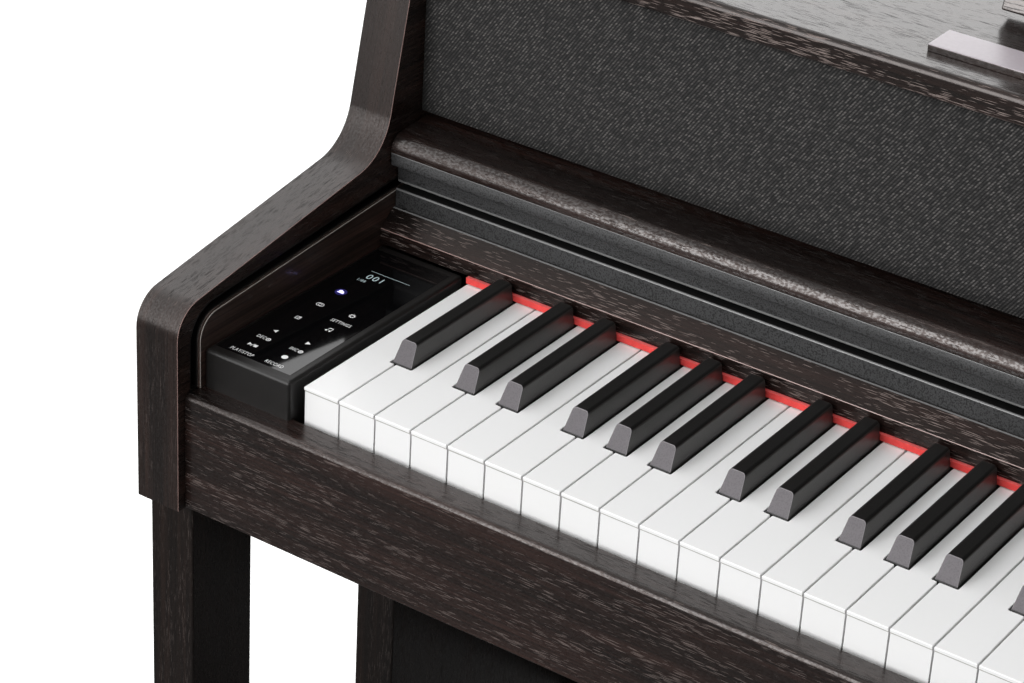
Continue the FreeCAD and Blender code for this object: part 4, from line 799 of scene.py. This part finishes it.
def ink_piece(name, shape, material):
    bmesh.ops.recalc_face_normals(shape, faces=shape.faces)
    mesh = bpy.data.meshes.new(name)
    shape.to_mesh(mesh)
    shape.free()
    mesh.materials.append(material)
    piece = bpy.data.objects.new(name, mesh)
    bpy.context.scene.collection.objects.link(piece)
    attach(piece, "case")
    return piece


def lit(name, tone, strength):
    material, tree, shader, place = finish(name, Roughness=0.5, Emission_Strength=strength)
    grain = tree.noise(tree.scaled(place["Object"], (2500, 2500, 2500)), detail=2)
    shade = tree.mix(tree.span(grain, 0.3, 0.7, 0.0, 0.35), colour(*tone), (0.02, 0.02, 0.03, 1))
    tree.feed(shader.inputs["Base Color"], shade)
    tree.feed(shader.inputs["Emission Color"], shade)
    return material


LETTER = 2.9
LEFT_ROW, RIGHT_ROW = 14.7, 36.4
word(ink, "PLAY/STOP", LEFT_ROW, 3.6, LETTER)
disc(ink, LEFT_ROW - 2.2, 12.9, 1.6, 3, turn=-90)
bar(ink, LEFT_ROW - 0.2, 12.9, 0.45, 3.0, -25)
bar(ink, LEFT_ROW + 1.9, 12.9, 2.3, 2.3)
word(ink, "RECORD", RIGHT_ROW, 4.2, LETTER)
disc(ink, RIGHT_ROW - 0.3, 13.6, 1.9, 24)
for row, y, text in ((LEFT_ROW, 22.8, "DEC"), (RIGHT_ROW, 23.4, "INC")):
    word(ink, text, row - 2.0, y, LETTER)
    disc(ink, row + 2.7, y, 1.5, 24, hole=1.0)
    bar(ink, row + 2.7, y, 1.5, 0.45)
bar(ink, RIGHT_ROW + 2.7, 23.4, 0.45, 1.5)
disc(ink, LEFT_ROW, 32.8, 1.8, 3, turn=90)
disc(ink, RIGHT_ROW, 33.2, 1.8, 3, turn=-90)
disc(ink, LEFT_ROW - 0.2, 52.3, 2.2, 4, turn=45, hole=1.75)
bar(ink, LEFT_ROW + 0.3, 52.7, 0.4, 3.2, -25)
quavers(ink, RIGHT_ROW, 52.6, 1.9)
disc(ink, LEFT_ROW - 0.7, 71.8, 1.8, 24, hole=1.4)
disc(ink, LEFT_ROW + 0.7, 71.8, 1.8, 24, hole=1.4)
word(ink, "SETTINGS", RIGHT_ROW, 62.4, LETTER)
cog(ink, RIGHT_ROW, 72.6, 1.9)
# The white print glows a little, painted light.
ink_piece("panel_signs", ink, lit("sign_ink_painted_glow", (228, 228, 228), 0.3))

glow = bmesh.new()
disc(glow, LEFT_ROW - 0.6, 91.4, 1.3)
disc(glow, LEFT_ROW + 0.8, 90.9, 1.0)
bar(glow, LEFT_ROW + 0.1, 89.9, 4.2, 1.1)
ink_piece("panel_lamp", glow, lit("lamp_glow", (190, 186, 255), 2.0))
halo = bmesh.new()
disc(halo, LEFT_ROW, 90.6, 3.5, 32, hole=2.3)
ink_piece("panel_lamp_halo", halo, lit("lamp_halo", (30, 24, 92), 0.6))

screen = bmesh.new()
bar(screen, 26.3, 121.3, 27, 0.22)
word(screen, "001", 20.5, 114.8, 5.5, narrow=0.95)
word(screen, "1/88", 15.0, 108.8, 2.6, narrow=0.8)
ink_piece("panel_screen", screen, lit("screen_light", (190, 208, 212), 0.35))

# ------------------------------------------------------------------------ stage


def make_stage():
    shape = bmesh.new()
    bmesh.ops.create_grid(shape, x_segments=1, y_segments=1, size=30)
    mesh = bpy.data.meshes.new("floor")
    shape.to_mesh(mesh)
    shape.free()
    floor = bpy.data.objects.new("floor", mesh)
    bpy.context.scene.collection.objects.link(floor)
    material, tree, shader, place = finish("pale_floor", Roughness=0.95, Emission_Strength=1.0)
    seen = tree.add("ShaderNodeLightPath").outputs["Is Camera Ray"]
    tree.feed(shader.inputs["Base Color"], tree.mix(seen, (0.12, 0.12, 0.12, 1),
                                                    (0.9, 0.9, 0.9, 1)))
    tree.feed(shader.inputs["Emission Color"], tree.mix(seen, (0, 0, 0, 1),
                                                        (0.34, 0.34, 0.34, 1)))
    mesh.materials.append(material)


def make_light(name, place, aim, size, power):
    lamp = bpy.data.lights.new(name, "AREA")
    lamp.shape = "RECTANGLE"
    lamp.size, lamp.size_y = size
    lamp.energy = power
    item = bpy.data.objects.new(name, lamp)
    bpy.context.scene.collection.objects.link(item)
    item.location = place
    item.rotation_mode = "QUATERNION"
    item.rotation_quaternion = (Vector(aim) - Vector(place)).to_track_quat("-Z", "Y")


def make_camera():
    azimuth, elevation, roll = (math.radians(value) for value in (33.196, 29.482, 3.3096))
    lens = bpy.data.cameras.new("camera")
    lens.sensor_width = 36
    lens.lens = 104.13
    camera = bpy.data.objects.new("camera", lens)
    bpy.context.scene.collection.objects.link(camera)
    back = Vector((math.sin(azimuth) * math.cos(elevation),
                   -math.cos(azimuth) * math.cos(elevation), math.sin(elevation)))
    camera.rotation_mode = "QUATERNION"
    camera.rotation_quaternion = ((-back).to_track_quat("-Z", "Y")
                                  @ Quaternion((0, 0, 1), roll))
    camera.location = (0.21986, -1.29466, 1.52334)
    bpy.context.scene.camera = camera


def make_world():
    """White screens behind, on the left of and right above the piano."""
    world = bpy.data.worlds.new("studio")
    bpy.context.scene.world = world
    world.use_nodes = True
    tree = Tree(world.node_tree)
    x, y, z = tree.split(tree.add("ShaderNodeTexCoord").outputs["Generated"])
    leftwards = tree.math("MULTIPLY", x, -1.0)
    rear = tree.math("MULTIPLY", tree.span(y, -0.1, 0.35, 0.0, 2.1), tree.span(z, 0.55, 0.72, 1, 0))
    left = tree.math("MULTIPLY", tree.span(leftwards, 0.25, 0.5, 0.0, 1.7),
                     tree.span(z, 0.84, 0.93, 1.0, 0.0))
    low = tree.span(z, 0.2, 0.45, 0.45, 0.06)
    above = tree.span(z, 0.93, 0.97, 0.0, 2.8)
    seen = tree.add("ShaderNodeLightPath").outputs["Is Camera Ray"]
    shade = tree.math("MAXIMUM", tree.math("MAXIMUM", seen, tree.math("MAXIMUM", low, above)),
                      tree.math("MAXIMUM", rear, left))
    background = world.node_tree.nodes["Background"]
    tree.feed(background.inputs["Color"], tree.join(shade, shade, shade))
    background.inputs["Strength"].default_value = 1.0


make_stage()
make_light("front_softbox", (-0.9, -2.05, 1.6), (-0.1, -0.1, 0.8), (1.4, 1.7), 44)
make_camera()
make_world()
bpy.context.scene.view_settings.view_transform = "Standard"
